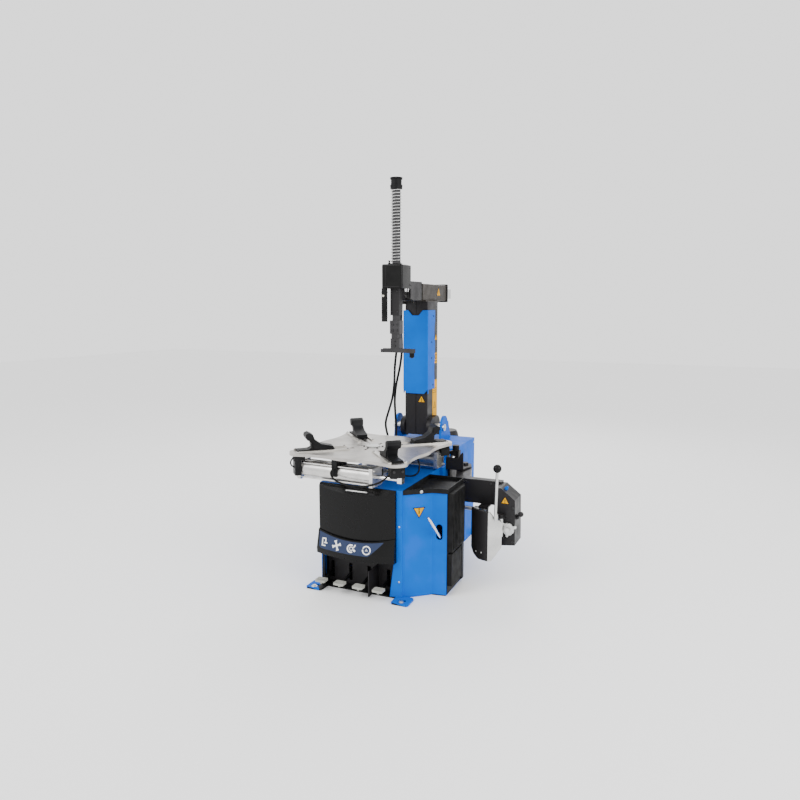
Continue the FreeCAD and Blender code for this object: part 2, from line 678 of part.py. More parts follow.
def pedal(x):
    lever = prism_x([(-122, 66), (-122, 90), (-98, 90), (-92, 66), (-150, 52), (PEDAL_FRONT + 6, PEDAL_PAD_Z - 12),
                     (PEDAL_FRONT + 6, PEDAL_PAD_Z), (-160, 66)], x - 5, x + 5)
    boss = rod(14, (x - 10, PEDAL_AXIS_Y, PEDAL_AXIS_Z), (x + 10, PEDAL_AXIS_Y, PEDAL_AXIS_Z))
    pad = soften(box(x - 26, x + 26, PEDAL_FRONT - 8, PEDAL_FRONT + 34, PEDAL_PAD_Z, PEDAL_PAD_Z + 10), 6, Z_AXIS)
    whole = join(lever, boss, pad)
    for row in range(5):
        y = PEDAL_FRONT - 2 + row * 7
        whole = whole.cut(box(x - 22, x + 22, y, y + 2.5, PEDAL_PAD_Z + 8.5, PEDAL_PAD_Z + 11))
    return whole.cut(rod(8 + RUNNING, (x - 11, PEDAL_AXIS_Y, PEDAL_AXIS_Z), (x + 11, PEDAL_AXIS_Y, PEDAL_AXIS_Z)))


# ---------------------------------------------------------------- turntable

def star_outline():
    """Four blunt tips on the diagonals; each side dips beside a tip and swells a little in its middle."""
    half_side = [(12, 353), (20, 318), (30, 301)]
    polar = half_side + [(45, 301)] + [(90 - turn, radius) for turn, radius in reversed(half_side)]
    edges = []
    for quarter in range(4):
        start = 45 + 90 * quarter
        tip = [around(start + turn, radius) for turn, radius in ((-5.6, TIP_RADIUS - 11), (0, TIP_RADIUS),
                                                                 (5.6, TIP_RADIUS - 11))]
        edges.append(Part.Arc(*tip).toShape())
        side = [tip[2]] + [around(start + turn, radius) for turn, radius in polar]
        side.append(around(start + 84.4, TIP_RADIUS - 11))
        curve = Part.BSplineCurve()
        curve.interpolate(side)
        edges.append(curve.toShape())
    return Part.Face(Part.Wire(edges))


def around(turn, radius):
    return Vector(radius * math.cos(math.radians(turn)), radius * math.sin(math.radians(turn)), 0)


def turntable_plate():
    plate = star_outline().extrude(Vector(0, 0, TABLE_PLATE))
    plate.translate(Vector(0, 0, TABLE_TOP - TABLE_PLATE))
    for quarter in range(4):
        rails = [box(130, 392, y, y + 14, TABLE_TOP - 1, TABLE_TOP + 7) for y in (-44, 30)]
        slot = box(100, 366, -SLOT_WIDTH / 2, SLOT_WIDTH / 2, TABLE_TOP - 20, TABLE_TOP + 2)
        for rail in rails:
            plate = plate.fuse(turned(rail, 45 + 90 * quarter))
        plate = plate.cut(turned(slot, 45 + 90 * quarter))
        small = soften(box(58, 92, -6, 6, TABLE_TOP - 20, TABLE_TOP + 2), 5.5, Z_AXIS)
        plate = plate.cut(turned(small, 90 * quarter))
    return turned(plate.removeSplitter(), TABLE_TURN)


def turntable_shaft():
    shaft = rod(25, (0, 0, 444), (0, 0, 634))
    wheel = rod(WHEEL_RADIUS, (0, 0, 462), (0, 0, 494))
    for step in range(36):
        turn = math.radians(10 * step)
        x = (WHEEL_RADIUS + 1) * math.cos(turn)
        y = (WHEEL_RADIUS + 1) * math.sin(turn)
        wheel = wheel.cut(rod(2.6, (x, y, 461), (x, y, 495)))
    stem = rod(14, (0, 0, 434), (0, 0, 444))
    flange = rod(90, (0, 0, 632), (0, 0, TABLE_TOP - TABLE_PLATE))
    cap = rod(34, (0, 0, TABLE_TOP), (0, 0, TABLE_TOP + 6))
    return Part.makeCompound([join(shaft, wheel, stem, flange), cap])


def slide_end_blocks():
    blocks = []
    for quarter in range(4):
        depth = 96 if quarter == 2 else 52
        block = box(348, 398, -34, 34, TABLE_TOP - TABLE_PLATE - depth, TABLE_TOP - TABLE_PLATE)
        block = turned(soften(block, 5, Z_AXIS), 45 + 90 * quarter)
        for side in (-1, 1):
            block = block.cut(barrel_room(side))
        blocks.append(turned(block, TABLE_TURN))
    return blocks


def barrel_ends(side):
    return (-262, 150) if side < 0 else (-150, 262)


def barrel_room(side):
    y = side * CYLINDER_OFFSET
    x0, x1 = barrel_ends(side)
    room = CAP_HALF + 1
    return box(x0 - 9, x1 + 9, y - room, y + room, CYLINDER_Z - room, CYLINDER_Z + room)


def clamp_barrel(side):
    y = side * CYLINDER_OFFSET
    x0, x1 = barrel_ends(side)
    barrel = ring(CYLINDER_RADIUS, CYLINDER_RADIUS - 4, (x0 + 18, y, CYLINDER_Z), (x1 - 18, y, CYLINDER_Z))
    caps = []
    for start in (x0, x1 - 18):
        cap = soften(box(start, start + 18, y - CAP_HALF, y + CAP_HALF,
                         CYLINDER_Z - CAP_HALF, CYLINDER_Z + CAP_HALF), 5, X_AXIS)
        caps.append(cap.cut(rod(10 + RUNNING, (start - 1, y, CYLINDER_Z), (start + 19, y, CYLINDER_Z)))
                    if (start == x0) == (side > 0) else cap)
    ties = []
    for dy in (-TIE_OFFSET, TIE_OFFSET):
        for dz in (-TIE_OFFSET, TIE_OFFSET):
            ties.append(rod(4, (x0 - 8, y + dy, CYLINDER_Z + dz), (x1 + 8, y + dy, CYLINDER_Z + dz)))
    return join(barrel, *caps, *ties)


def clamp_cylinders():
    return Part.makeCompound([turned(clamp_barrel(side), TABLE_TURN) for side in (-1, 1)])


def cylinder_brackets():
    brackets = []
    for side in (-1, 1):
        y = side * CYLINDER_OFFSET
        for x in ((-52,) if side < 0 else (-60, 120)):
            band = box(x - 14, x + 14, y - CAP_HALF - 2, y + CAP_HALF + 2, CYLINDER_Z - 12, TABLE_TOP - TABLE_PLATE)
            band = band.cut(rod(CYLINDER_RADIUS, (x - 15, y, CYLINDER_Z), (x + 15, y, CYLINDER_Z)))
            for dy in (-TIE_OFFSET, TIE_OFFSET):
                for dz in (-TIE_OFFSET, TIE_OFFSET):
                    band = band.cut(rod(4, (x - 15, y + dy, CYLINDER_Z + dz), (x + 15, y + dy, CYLINDER_Z + dz)))
            brackets.append(turned(band, TABLE_TURN))
    return brackets


def table_fittings():
    """Slide end blocks, cylinder brackets and the clipped air hoses below the plate."""
    return Part.makeCompound(slide_end_blocks() + cylinder_brackets() + table_hoses())


def clamp_rod(side):
    y = side * CYLINDER_OFFSET
    way = -side
    inner = way * -20
    piston = rod(CYLINDER_RADIUS - 4.3, (inner - 8, y, CYLINDER_Z), (inner + 8, y, CYLINDER_Z))
    stem = rod(10, (inner, y, CYLINDER_Z), (way * 272, y, CYLINDER_Z))
    eye_x0, eye_x1 = sorted((way * 262, way * 284))
    eye = box(eye_x0, eye_x1, y - 16, y + 16, CYLINDER_Z - 16, CYLINDER_Z + 16)
    return turned(join(piston, stem, soften(eye, 4, X_AXIS)), TABLE_TURN)


def jaw_profile():
    return [(-62, 0), (60, 0), (60, 12), (46, 20), (50, 44), (64, 60), (70, 74), (58, 82), (44, 72), (36, 50),
            (2, 26), (-62, 12)]


def jaw(quarter):
    base = prism_y([(r, z) for r, z in jaw_profile()], -JAW_HALF, JAW_HALF)
    shoe = soften(box(-66, 116, -28, 28, 0, 11), 4, Z_AXIS)
    key = box(-30, 30, -SLOT_WIDTH / 2 + 0.3, SLOT_WIDTH / 2 - 0.3, -TABLE_PLATE - 12, 1)
    nut = box(-30, 30, -24, 24, -TABLE_PLATE - 12, -TABLE_PLATE - 0.4)
    whole = Part.makeCompound([join(base, shoe, key, nut), jaw_cover()])
    whole.translate(Vector(JAW_REST, 0, TABLE_TOP + 0.3))
    return turned(whole, 45 + 90 * quarter + TABLE_TURN)


def jaw_cover():
    """The plastic hood over a jaw's sloping back and head; it leaves the outer face of the steel bare."""
    back = [(-60, 12), (36, 12), (40, 40), (50, 50), (66, 56), (77, 72), (75, 86), (60, 93), (40, 83), (30, 56),
            (0, 35), (-60, 21)]
    hood = prism_y(back, -JAW_HALF - 3.5, JAW_HALF + 3.5)
    head = soften(prism_y([(42, 55), (66, 55), (77, 72), (75, 86), (60, 93), (42, 84)], -33, 33), 3, Y_AXIS)
    return join(hood, head).cut(prism_y([(r, z) for r, z in jaw_profile()], -JAW_HALF, JAW_HALF))


def table_hoses():
    """Short air hoses between each cylinder's end cap and the hub's flange."""
    near = [(141, -CYLINDER_OFFSET + CAP_HALF, 560), (140, -176, 557), (134, -154, 562), (122, -130, 574),
            (106, -108, 590), (86, -86, 606), (66, -66, 619), (54, -54, 632)]
    far = [(-x, -y, z) for x, y, z in near]
    return [turned(hose(route, 8, "table hose"), TABLE_TURN) for route in (near, far)]


# ---------------------------------------------------------------- column

def column_tube():
    outer = soften(box(-COLUMN_HALF, COLUMN_HALF, COLUMN_FRONT, COLUMN_FRONT + COLUMN_DEPTH,
                       COLUMN_BOTTOM, COLUMN_TOP), 6, Z_AXIS)
    inner = box(-COLUMN_HALF + 8, COLUMN_HALF - 8, COLUMN_FRONT + 8, COLUMN_FRONT + COLUMN_DEPTH - 8,
                COLUMN_BOTTOM - 1, COLUMN_TOP + 1)
    groove = box(-2.5, 2.5, COLUMN_FRONT - 1, COLUMN_FRONT + 3, COLUMN_BOTTOM - 1, COLUMN_TOP + 1)
    back = COLUMN_FRONT + COLUMN_DEPTH
    heel = prism_x([(back - 62, COLUMN_BOTTOM - 1), (back + 1, COLUMN_BOTTOM - 1), (back + 1, COLUMN_BOTTOM + 62)],
                   -COLUMN_HALF - 1, COLUMN_HALF + 1)
    pin_hole = rod(PIN_RADIUS + RUNNING, (-COLUMN_HALF - 1, TILT_Y, TILT_Z), (COLUMN_HALF + 1, TILT_Y, TILT_Z))
    tube = outer.cut(inner).cut(groove).cut(heel).cut(pin_hole)
    return join(tube, tilt_clevis(), *column_feet())


def column_cover():
    low, high = 861, 1329
    outer = soften(box(-75, 75, 545, 662, low, high), 5, Z_AXIS)
    inner = box(-71.5, 71.5, 549, 663, low - 1, high + 1)
    cover = outer.cut(inner)
    notch = prism_y([(-46, high + 1), (46, high + 1), (38, high - 8), (20, high - 29), (-20, high - 29), (-38, high - 8)],
                    540, 552)
    scallops = [rod(182, (-80, 830, z), (80, 830, z)) for z in (1207, 985)]
    for side in (-1, 1):
        x0, x1 = sorted((side * 44, side * 80))
        cover = cover.cut(prism_y([(side * 76, low - 1), (side * 76, low + 26), (side * 52, low - 1)], 540, 552))
        flank = box(x0, x1, 562, 664, low - 1, low + 22)
        cover = cover.cut(flank)
    return cover.cut(notch).cut(scallops[0]).cut(scallops[1])


def column_feet():
    plates = []
    for side in (-1, 1):
        x0, x1 = sorted((side * COLUMN_HALF, side * FOOT_OUT))
        front = rod(56, (x0, 598, TILT_Z), (x1, 598, TILT_Z))
        rear = rod(56, (x0, 650, TILT_Z + 6), (x1, 650, TILT_Z + 6))
        middle = box(x0, x1, 598, 650, TILT_Z - 50, TILT_Z + 56)
        plate = join(front, rear, middle)
        plates.append(plate.cut(rod(PIN_RADIUS + RUNNING, (x0 - 1, TILT_Y, TILT_Z), (x1 + 1, TILT_Y, TILT_Z))))
    return plates


def tilt_clevis():
    """Two ears and a pin on the column's back, which the tilt rod's eye hangs on."""
    back = COLUMN_FRONT + COLUMN_DEPTH
    ears = []
    for side in (-1, 1):
        x0, x1 = sorted((side * 10, side * 18))
        ears.append(join(rod(14, (x0, CLEVIS_Y, CLEVIS_Z), (x1, CLEVIS_Y, CLEVIS_Z)),
                         box(x0, x1, back, CLEVIS_Y, CLEVIS_Z - 14, CLEVIS_Z + 14)))
    plate = box(-30, 30, back, back + 4, CLEVIS_Z - 6, CLEVIS_Z + 34)
    pin = rod(5, (-22, CLEVIS_Y, CLEVIS_Z), (22, CLEVIS_Y, CLEVIS_Z))
    return join(ears[0], ears[1], plate, pin)


def tilt_rod():
    shaft = rod(8, (0, CLEVIS_Y, 330), (0, CLEVIS_Y, CLEVIS_Z - 10))
    piston = rod(29.7, (0, CLEVIS_Y, 330), (0, CLEVIS_Y, 352))
    eye = ring(13, 8.8, (-9, CLEVIS_Y, CLEVIS_Z), (9, CLEVIS_Y, CLEVIS_Z))
    return join(shaft, piston, eye)


def head_bracket():
    back = COLUMN_FRONT + COLUMN_DEPTH
    plate = box(-COLUMN_HALF, COLUMN_HALF, 530, 745, COLUMN_TOP, GUIDE_BOTTOM)
    gussets = []
    for side in (-1, 1):
        x0, x1 = sorted((side * 30, side * 38))
        gussets.append(prism_x([(back, 1310), (back, COLUMN_TOP), (806, COLUMN_TOP)], x0, x1))
    shelf = box(-46, 46, 744, 820, COLUMN_TOP, GUIDE_BOTTOM)
    return join(plate, shelf, *gussets)


def arm_guide():
    outer = soften(box(-GUIDE_HALF, GUIDE_HALF, GUIDE_FRONT, GUIDE_BACK, GUIDE_BOTTOM, GUIDE_TOP), 5, Y_AXIS)
    inner = box(-GUIDE_HALF + 8, GUIDE_HALF - 8, GUIDE_FRONT - 1, GUIDE_BACK + 1, GUIDE_BOTTOM + 8, GUIDE_TOP - 8)
    guide = join(outer.cut(inner), head_bracket(), guide_end_plate())
    return Part.makeCompound([guide, hose_manifold()] + guide_pads())


def guide_pads():
    pads = []
    gap = 0.3
    for y in (GUIDE_FRONT + 4, GUIDE_BACK - 64):
        pads.append(box(-28, 28, y, y + 60, ARM_Z + ARM_HALF + gap, GUIDE_TOP - 8))
        pads.append(box(-28, 28, y, y + 60, GUIDE_BOTTOM + 8, ARM_Z - ARM_HALF - gap))
        for side in (-1, 1):
            x0, x1 = sorted((side * (ARM_HALF + gap), side * (GUIDE_HALF - 8)))
            pads.append(box(x0, x1, y, y + 60, ARM_Z - 26, ARM_Z + 26))
    return pads


def guide_end_plate():
    plate = soften(box(-62, 62, GUIDE_BACK, GUIDE_BACK + 8, GUIDE_BOTTOM - 8, GUIDE_TOP + 6), 6, Y_AXIS)
    hole = box(-ARM_HALF - 1, ARM_HALF + 1, GUIDE_BACK - 1, GUIDE_BACK + 9, ARM_Z - ARM_HALF - 1, ARM_Z + ARM_HALF + 1)
    return plate.cut(hole)


def hose_manifold():
    block = soften(box(-108, -COLUMN_HALF, 532, 566, COLUMN_TOP - 16, GUIDE_BOTTOM + 10), 3, Z_AXIS)
    return block


def hose_glands():
    glands = []
    for x, y in HOSE_ENDS:
        nut = hexagon(20, BOX_TOP, BOX_TOP + 12, x, y)
        nose = rod(7, (x, y, BOX_TOP + 12), (x, y, BOX_TOP + 20))
        glands.append(join(nut, nose))
    return Part.makeCompound(glands + [power_inlet()])


# ---------------------------------------------------------------- sliding arm and mounting head

def slide_arm():
    outer = soften(box(-ARM_HALF, ARM_HALF, 350, ARM_BACK, ARM_Z - ARM_HALF, ARM_Z + ARM_HALF), 4, Y_AXIS)
    inner = box(-ARM_HALF + 5, ARM_HALF - 5, 400, ARM_BACK + 1, ARM_Z - ARM_HALF + 5, ARM_Z + ARM_HALF - 5)
    return outer.cut(inner)


def arm_head():
    """Casting on the arm's end: a block round the arm, the shaft's carrier and its guide sleeve."""
    collar = soften(box(-52, 52, 350, 513, 1380, 1484), 6, Y_AXIS)
    collar = collar.cut(box(-ARM_HALF, ARM_HALF, 349, 520, ARM_Z - ARM_HALF, ARM_Z + ARM_HALF))
    block = box(-40, 40, SHAFT_Y - 40, 350, HOUSING_BOTTOM, HOUSING_TOP - 6)
    web = box(-24, 24, 309, 350, 1384, HOUSING_BOTTOM)
    sleeve = soften(box(-25, 25, SHAFT_Y - 25, SHAFT_Y + 25, 1304, HOUSING_BOTTOM), 4, Z_AXIS)
    bore = hexagon(SHAFT_FLATS + 2 * RUNNING, 1300, HOUSING_TOP, 0, SHAFT_Y)
    return join(collar, block, web, sleeve).cut(bore)


def head_housing():
    outer = soften(box(-58, 58, 222, 349.7, HOUSING_BOTTOM, HOUSING_TOP), 12, Z_AXIS)
    rim = [edge for edge in outer.Edges if abs(edge.BoundBox.ZMin - HOUSING_TOP) < 0.01]
    outer = outer.makeFillet(8, rim)
    inner = box(-52, 52, 229, 360, HOUSING_BOTTOM - 1, HOUSING_TOP - 5.7)
    hole = rod(29, (0, SHAFT_Y, HOUSING_TOP - 9), (0, SHAFT_Y, HOUSING_TOP + 9))
    seat = ring(32, 25, (0, SHAFT_Y, HOUSING_TOP), (0, SHAFT_Y, SPRING_BOTTOM))
    return Part.makeCompound([outer.cut(inner).cut(hole), seat])


def lock_grip():
    grip = rod(15, (-46, 236, 1271), (-46, 236, HOUSING_BOTTOM))
    collar = rod(17, (-46, 236, 1418), (-46, 236, 1426))
    pocket = rod(5 + RUNNING, (-46, 215, 1404), (-46, 231.5, 1404))
    return join(grip, collar).cut(pocket)


def lock_button():
    return rod(5, (-46, 216, 1404), (-46, 228, 1404))


def hex_shaft():
    return hexagon(SHAFT_FLATS, HEAD_TOP - 66, SHAFT_TOP, 0, SHAFT_Y)


def shaft_cap():
    skirt = rod(28, (0, SHAFT_Y, SHAFT_TOP), (0, SHAFT_Y, CAP_TOP - 8))
    top = rod(32, (0, SHAFT_Y, CAP_TOP - 8), (0, SHAFT_Y, CAP_TOP))
    collar = rod(32, (0, SHAFT_Y, SHAFT_TOP), (0, SHAFT_Y, SHAFT_TOP + 8))
    return Part.makeCompound([join(skirt, top, collar), cap_washer()])


def cap_washer():
    outer = rod(31, (0, SHAFT_Y, SPRING_TOP), (0, SHAFT_Y, SHAFT_TOP))
    return outer.cut(hexagon(SHAFT_FLATS, SPRING_TOP - 1, SHAFT_TOP + 1, 0, SHAFT_Y))


def shaft_spring():
    length = SPRING_TOP - SPRING_BOTTOM - SPRING_WIRE - 2
    spring = coil_spring(SPRING_RADIUS, SPRING_WIRE, length, SPRING_TURNS)
    spring.translate(Vector(0, SHAFT_Y, SPRING_BOTTOM + SPRING_WIRE / 2 + 1))
    return spring


def mount_head():
    clamp = soften(box(-28, 28, SHAFT_Y - 26, SHAFT_Y + 26, 1208, HEAD_TOP), 5, Z_AXIS)
    clamp = clamp.cut(hexagon(SHAFT_FLATS, HEAD_TOP - 66, HEAD_TOP + 1, 0, SHAFT_Y))
    lower = soften(box(-25, 25, SHAFT_Y - 24, SHAFT_Y + 22, 1132, 1184), 5, Z_AXIS)
    neck = rod(20, (0, SHAFT_Y, 1180), (0, SHAFT_Y, HEAD_TOP - 66))
    collar = ring(27, 20, (0, SHAFT_Y, 1185), (0, SHAFT_Y, 1207))
    return Part.makeCompound([join(clamp, neck, collar, lower)] + head_bolts())


def mount_foot():
    """A duck-bill foot that follows the rim's circle, thickest under the head."""
    outer = ring(286, 262, (0, 0, 1110), (0, 0, 1132))
    wedge = prism_z([(0, 0), (-72, 284), (-74, 330), (124, 330), (118, 262), (60, 130)], 1100, 1140)
    arc = outer.common(wedge)
    nose = rod(11, (-71, 264.5, 1110), (-71, 264.5, 1128))
    rise = box(-20, 20, SHAFT_Y - 16, SHAFT_Y + 12, 1126, 1132)
    pin = join(rod(5, (100, 256, 1086), (100, 256, 1132)), rod(8, (100, 256, 1084), (100, 256, 1088)))
    return join(arc, nose, rise, pin)


def head_roller():
    return ring(13, 5 + RUNNING, (100, 256, 1088.3), (100, 256, 1109.6))


def head_bolts():
    front = SHAFT_Y - 26
    bolts = [hex_screw(x, front, z, Vector(0, -1, 0), 7) for x in (-13, 13) for z in (1226, 1256)]
    return bolts + [hex_screw(0, front + 2, z, Vector(0, -1, 0), 6) for z in (1146, 1168)]


# ---------------------------------------------------------------- bead breaker

def breaker_arm():
    outline = [(306, 392), (372, 186), (392, 168), (612, 168), (612, 214), (436, 214), (386, 408)]
    beam = prism_z(outline, BEAM_BOTTOM, BEAM_TOP)
    pocket = prism_z([(404, 178), (602, 178), (602, 230), (428, 230), (404, 230)], BEAM_BOTTOM + 8, BEAM_TOP - 8)
    boss = rod(41, (ARM_PIVOT_X, ARM_PIVOT_Y, BEAM_BOTTOM), (ARM_PIVOT_X, ARM_PIVOT_Y, BEAM_TOP))
    hole = rod(14 + RUNNING, (ARM_PIVOT_X, ARM_PIVOT_Y, BEAM_BOTTOM - 1), (ARM_PIVOT_X, ARM_PIVOT_Y, BEAM_TOP + 1))
    return join(beam.cut(pocket), boss, arm_end_box(), rod_lug()).cut(hole)


def rod_lug():
    """The plate and pin under the beam that the rod's eye turns on."""
    plate = soften(box(ROD_END - 24, ROD_END + 24, ROD_Y - 22, 206, BEAM_BOTTOM - 8, BEAM_BOTTOM), 8, Z_AXIS)
    pin = rod(9, (ROD_END, ROD_Y, ROD_Z - 20), (ROD_END, ROD_Y, BEAM_BOTTOM - 8))
    head = rod(19, (ROD_END, ROD_Y, ROD_Z - 22), (ROD_END, ROD_Y, ROD_Z - 15))
    return join(plate, pin, head)


def arm_end_box():
    side = prism_y([(608, 490), (630, 490), (700, 436), (704, 216), (608, 204)], 92, 214)
    hollow = prism_y([(620, 478), (628, 478), (692, 428), (696, 224), (620, 214)], 98, 215)
    lugs = []
    for z in (250, 352):
        lugs.append(box(624, 656, 58, 93, z, z + 12))
    pin = join(rod(9, (BLADE_PIN_X, BLADE_PIN_Y, 246), (BLADE_PIN_X, BLADE_PIN_Y, 368)),
               rod(12, (BLADE_PIN_X, BLADE_PIN_Y, 364), (BLADE_PIN_X, BLADE_PIN_Y, 370)))
    return join(side.cut(hollow), pin, arm_lever(), *lugs)


def arc_wall(points, thickness, z0, z1):
    """An upright curved wall through three plan points, thickened towards the back."""
    first, middle, last = [Vector(x, y, z0) for x, y in points]
    back = Vector(0, thickness, 0)
    edges = [Part.Arc(first, middle, last).toShape(),
             Part.makeLine(last, last + back),
             Part.Arc(last + back, middle + back, first + back).toShape(),
             Part.makeLine(first + back, first)]
    return Part.Face(Part.Wire(edges)).extrude(Vector(0, 0, z1 - z0))


def blade_face():
    wall = arc_wall([(496, 62), (540, 26), (594, 8)], 12, 150, 390)
    shape = prism_y([(490, 392), (600, 392), (600, 148), (545, 148), (512, 168), (490, 205)], -20, 100)
    return wall.common(shape)


def blade_holder():
    """Folded plate behind the blade, with the knuckle that turns on the blade pin."""
    cheek = prism_z([(594.4, 8), (652, 42), (650, 48), (594.4, 18)], 150, 389)
    trim = prism_y([(590, 390), (600, 390), (616, 366), (640, 348), (654, 336), (654, 218), (610, 150), (590, 150)],
                   0, 60)
    cheek = cheek.common(trim)
    knuckle = ring(12, 9 + RUNNING, (BLADE_PIN_X, BLADE_PIN_Y, 263), (BLADE_PIN_X, BLADE_PIN_Y, 351))
    web = prism_z([(600, 24), (648, 46), (648, 56), (632, 60), (600, 30)], 270, 340)
    web = web.cut(rod(9 + RUNNING, (BLADE_PIN_X, BLADE_PIN_Y, 262), (BLADE_PIN_X, BLADE_PIN_Y, 352)))
    return Part.makeCompound([join(cheek, web, knuckle, handle_bar()), handle_ball()])


def handle_bar():
    foot_block = soften(box(622, 640, 8, 26.5, 352, 384), 3, Z_AXIS)
    stem = rod(7, (628, 12, 356), (635, 4, 590))
    return join(foot_block, stem)


def handle_ball():
    whole = ball(20, (635.6, 3.4, 606))
    return whole.cut(rod(7, (628, 12, 356), (635, 4, 590)))


def arm_lever():
    """Locking lever on the end of the arm, with a polished ball."""
    stem = rod(6, (702, 120, 350), (722, 106, 366))
    hub = rod(13, (699, 122, 348), (706, 117, 353))
    return join(stem, hub, ball(13, (728, 102, 371)))


def blade_stop_knob():
    disc = rod(30, (672, 91.7, 296), (672, 80, 296))
    grip = rod(11, (672, 80, 296), (672, 62, 296))
    notches = [rod(4, (672 + 31 * math.cos(math.radians(45 * k)), 92, 296 + 31 * math.sin(math.radians(45 * k))),
                   (672 + 31 * math.cos(math.radians(45 * k)), 79, 296 + 31 * math.sin(math.radians(45 * k))))
               for k in range(8)]
    return join(disc, grip).cut(Part.makeCompound(notches))


# ---------------------------------------------------------------- tyre lever

LEVER_WAY = Vector(15, 95, -106).normalize()


def tyre_lever():
    crossing = Vector(SLOT_X - 1, SLOT_Y + 2, 292)
    outer_end = crossing - LEVER_WAY * 132
    shaft = Part.makeCylinder(8, 350, outer_end, LEVER_WAY)
    tip = Part.makeCone(8, 3, 26, outer_end, LEVER_WAY * -1)
    return join(shaft, tip)


# ---------------------------------------------------------------- free hoses beside the column

HOSE_ROUTES = (
    [(-84, 544, 1362), (-84, 544, 1290), (-94, 538, 1200), (-110, 533, 1105), (-118, 524, 1010),
     (-117, 518, 915), (-126, 512, 830), (-148, 506, 755), (-166, 502, 697), (-163, 500, 652), (-148, 500, 605)],
    [(-97, 553, 1362), (-97, 553, 1290), (-90, 556, 1200), (-86, 557, 1105), (-96, 552, 1010),
     (-117, 545, 915), (-124, 535, 822), (-112, 520, 735), (-101, 506, 665), (-100, 502, 605)],
)

NODES = {
    "cabinet_chassis": cabinet_chassis,
    "left_cover": left_cover,
    "front_cover": front_cover,
    "control_bezel": control_bezel,
    "kick_plate": kick_plate,
    "side_housing": side_housing,
    "side_tray": side_tray,
    "side_pads": side_pads,
    "rear_box": rear_box,
    "column_pivot_pin": column_pivot_pin,
    "tilt_cylinder": tilt_cylinder,
    "tilt_rod": tilt_rod,
    "breaker_bracket": breaker_pivot_bracket,
    "air_tank": air_tank,
    "air_regulator": air_regulator,
    "regulator_knob": regulator_knob,
    "glands": hose_glands,
    "gearbox_housing": gearbox_housing,
    "worm_shaft": worm_shaft,
    "drive_belt": drive_belt,
    "drive_motor": drive_motor,
    "motor_shaft": motor_shaft,
    "bead_cylinder": bead_cylinder,
    "breaker_rod": breaker_rod,
    "pedal_frame": pedal_frame,
    "turntable_plate": turntable_plate,
    "turntable_shaft": turntable_shaft,
    "table_fittings": table_fittings,
    "clamp_cylinders": clamp_cylinders,
    "column_tube": column_tube,
    "column_cover": column_cover,
    "arm_guide": arm_guide,
    "slide_arm": slide_arm,
    "arm_head": arm_head,
    "head_housing": head_housing,
    "lock_grip": lock_grip,
    "lock_button": lock_button,
    "hex_shaft": hex_shaft,
    "shaft_cap": shaft_cap,
    "shaft_spring": shaft_spring,
    "mount_head": mount_head,
    "mount_foot": mount_foot,
    "head_roller": head_roller,
    "breaker_arm": breaker_arm,
    "blade_stop_knob": blade_stop_knob,
    "blade_face": blade_face,
    "blade_holder": blade_holder,
    "tyre_lever": tyre_lever,
}


def build():
    os.makedirs("parts", exist_ok=True)
    for name, make in NODES.items():
        save(name, make())
    for index, x in enumerate(PEDAL_X):
        save("pedal_%d" % (index + 1), pedal(x))
    for quarter in range(4):
        save("jaw_%d" % (quarter + 1), jaw(quarter))
    for name, side in (("clamp_rod_front", -1), ("clamp_rod_back", 1)):
        save(name, clamp_rod(side))
    for name, route in zip(("column_hose_left", "column_hose_right"), HOSE_ROUTES):
        save(name, hose(route, HOSE_DIAMETER, name))


build()
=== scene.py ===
import json
import math

import bmesh
import bpy
from mathutils import Matrix, Vector
from mathutils.bvhtree import BVHTree


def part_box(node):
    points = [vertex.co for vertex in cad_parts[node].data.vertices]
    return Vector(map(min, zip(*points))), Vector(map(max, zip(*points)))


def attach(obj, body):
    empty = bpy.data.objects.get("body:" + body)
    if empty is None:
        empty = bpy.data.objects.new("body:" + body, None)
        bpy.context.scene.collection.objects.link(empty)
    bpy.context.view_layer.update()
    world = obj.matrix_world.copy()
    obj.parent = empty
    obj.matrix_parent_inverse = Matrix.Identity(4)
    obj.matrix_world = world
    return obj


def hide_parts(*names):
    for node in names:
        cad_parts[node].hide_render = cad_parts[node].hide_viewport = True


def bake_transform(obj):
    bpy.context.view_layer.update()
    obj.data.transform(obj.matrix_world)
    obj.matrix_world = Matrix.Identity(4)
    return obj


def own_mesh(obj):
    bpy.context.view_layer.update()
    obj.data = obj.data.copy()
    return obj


# Tilt-back column tyre changer.
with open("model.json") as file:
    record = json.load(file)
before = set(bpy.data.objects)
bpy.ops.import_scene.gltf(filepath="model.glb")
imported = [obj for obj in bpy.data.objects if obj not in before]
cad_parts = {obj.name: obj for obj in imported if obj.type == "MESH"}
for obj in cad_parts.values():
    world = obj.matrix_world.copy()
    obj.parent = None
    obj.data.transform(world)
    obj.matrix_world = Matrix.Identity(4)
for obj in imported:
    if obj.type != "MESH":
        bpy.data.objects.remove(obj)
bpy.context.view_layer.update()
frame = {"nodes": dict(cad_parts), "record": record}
NODES = frame["nodes"]
MM = 0.001
TABLE_TURN_DEG = -3
RAIL_RISE = 7
TABLE_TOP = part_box("turntable_plate")[1].z / MM - RAIL_RISE
LEFT_PANEL_INSIDE = -161
BASE_PLATE_TOP = 6
HOSE_DIAMETER = 13
SLEEVE_FRONT = 259
SHAFT_Y = 284
STOP_KNOB_X, STOP_KNOB_Z = 672, 296
SMOOTH_DEG = 32
BEVEL_FROM_DEG = 35
FLOOR_HALF_M = 14

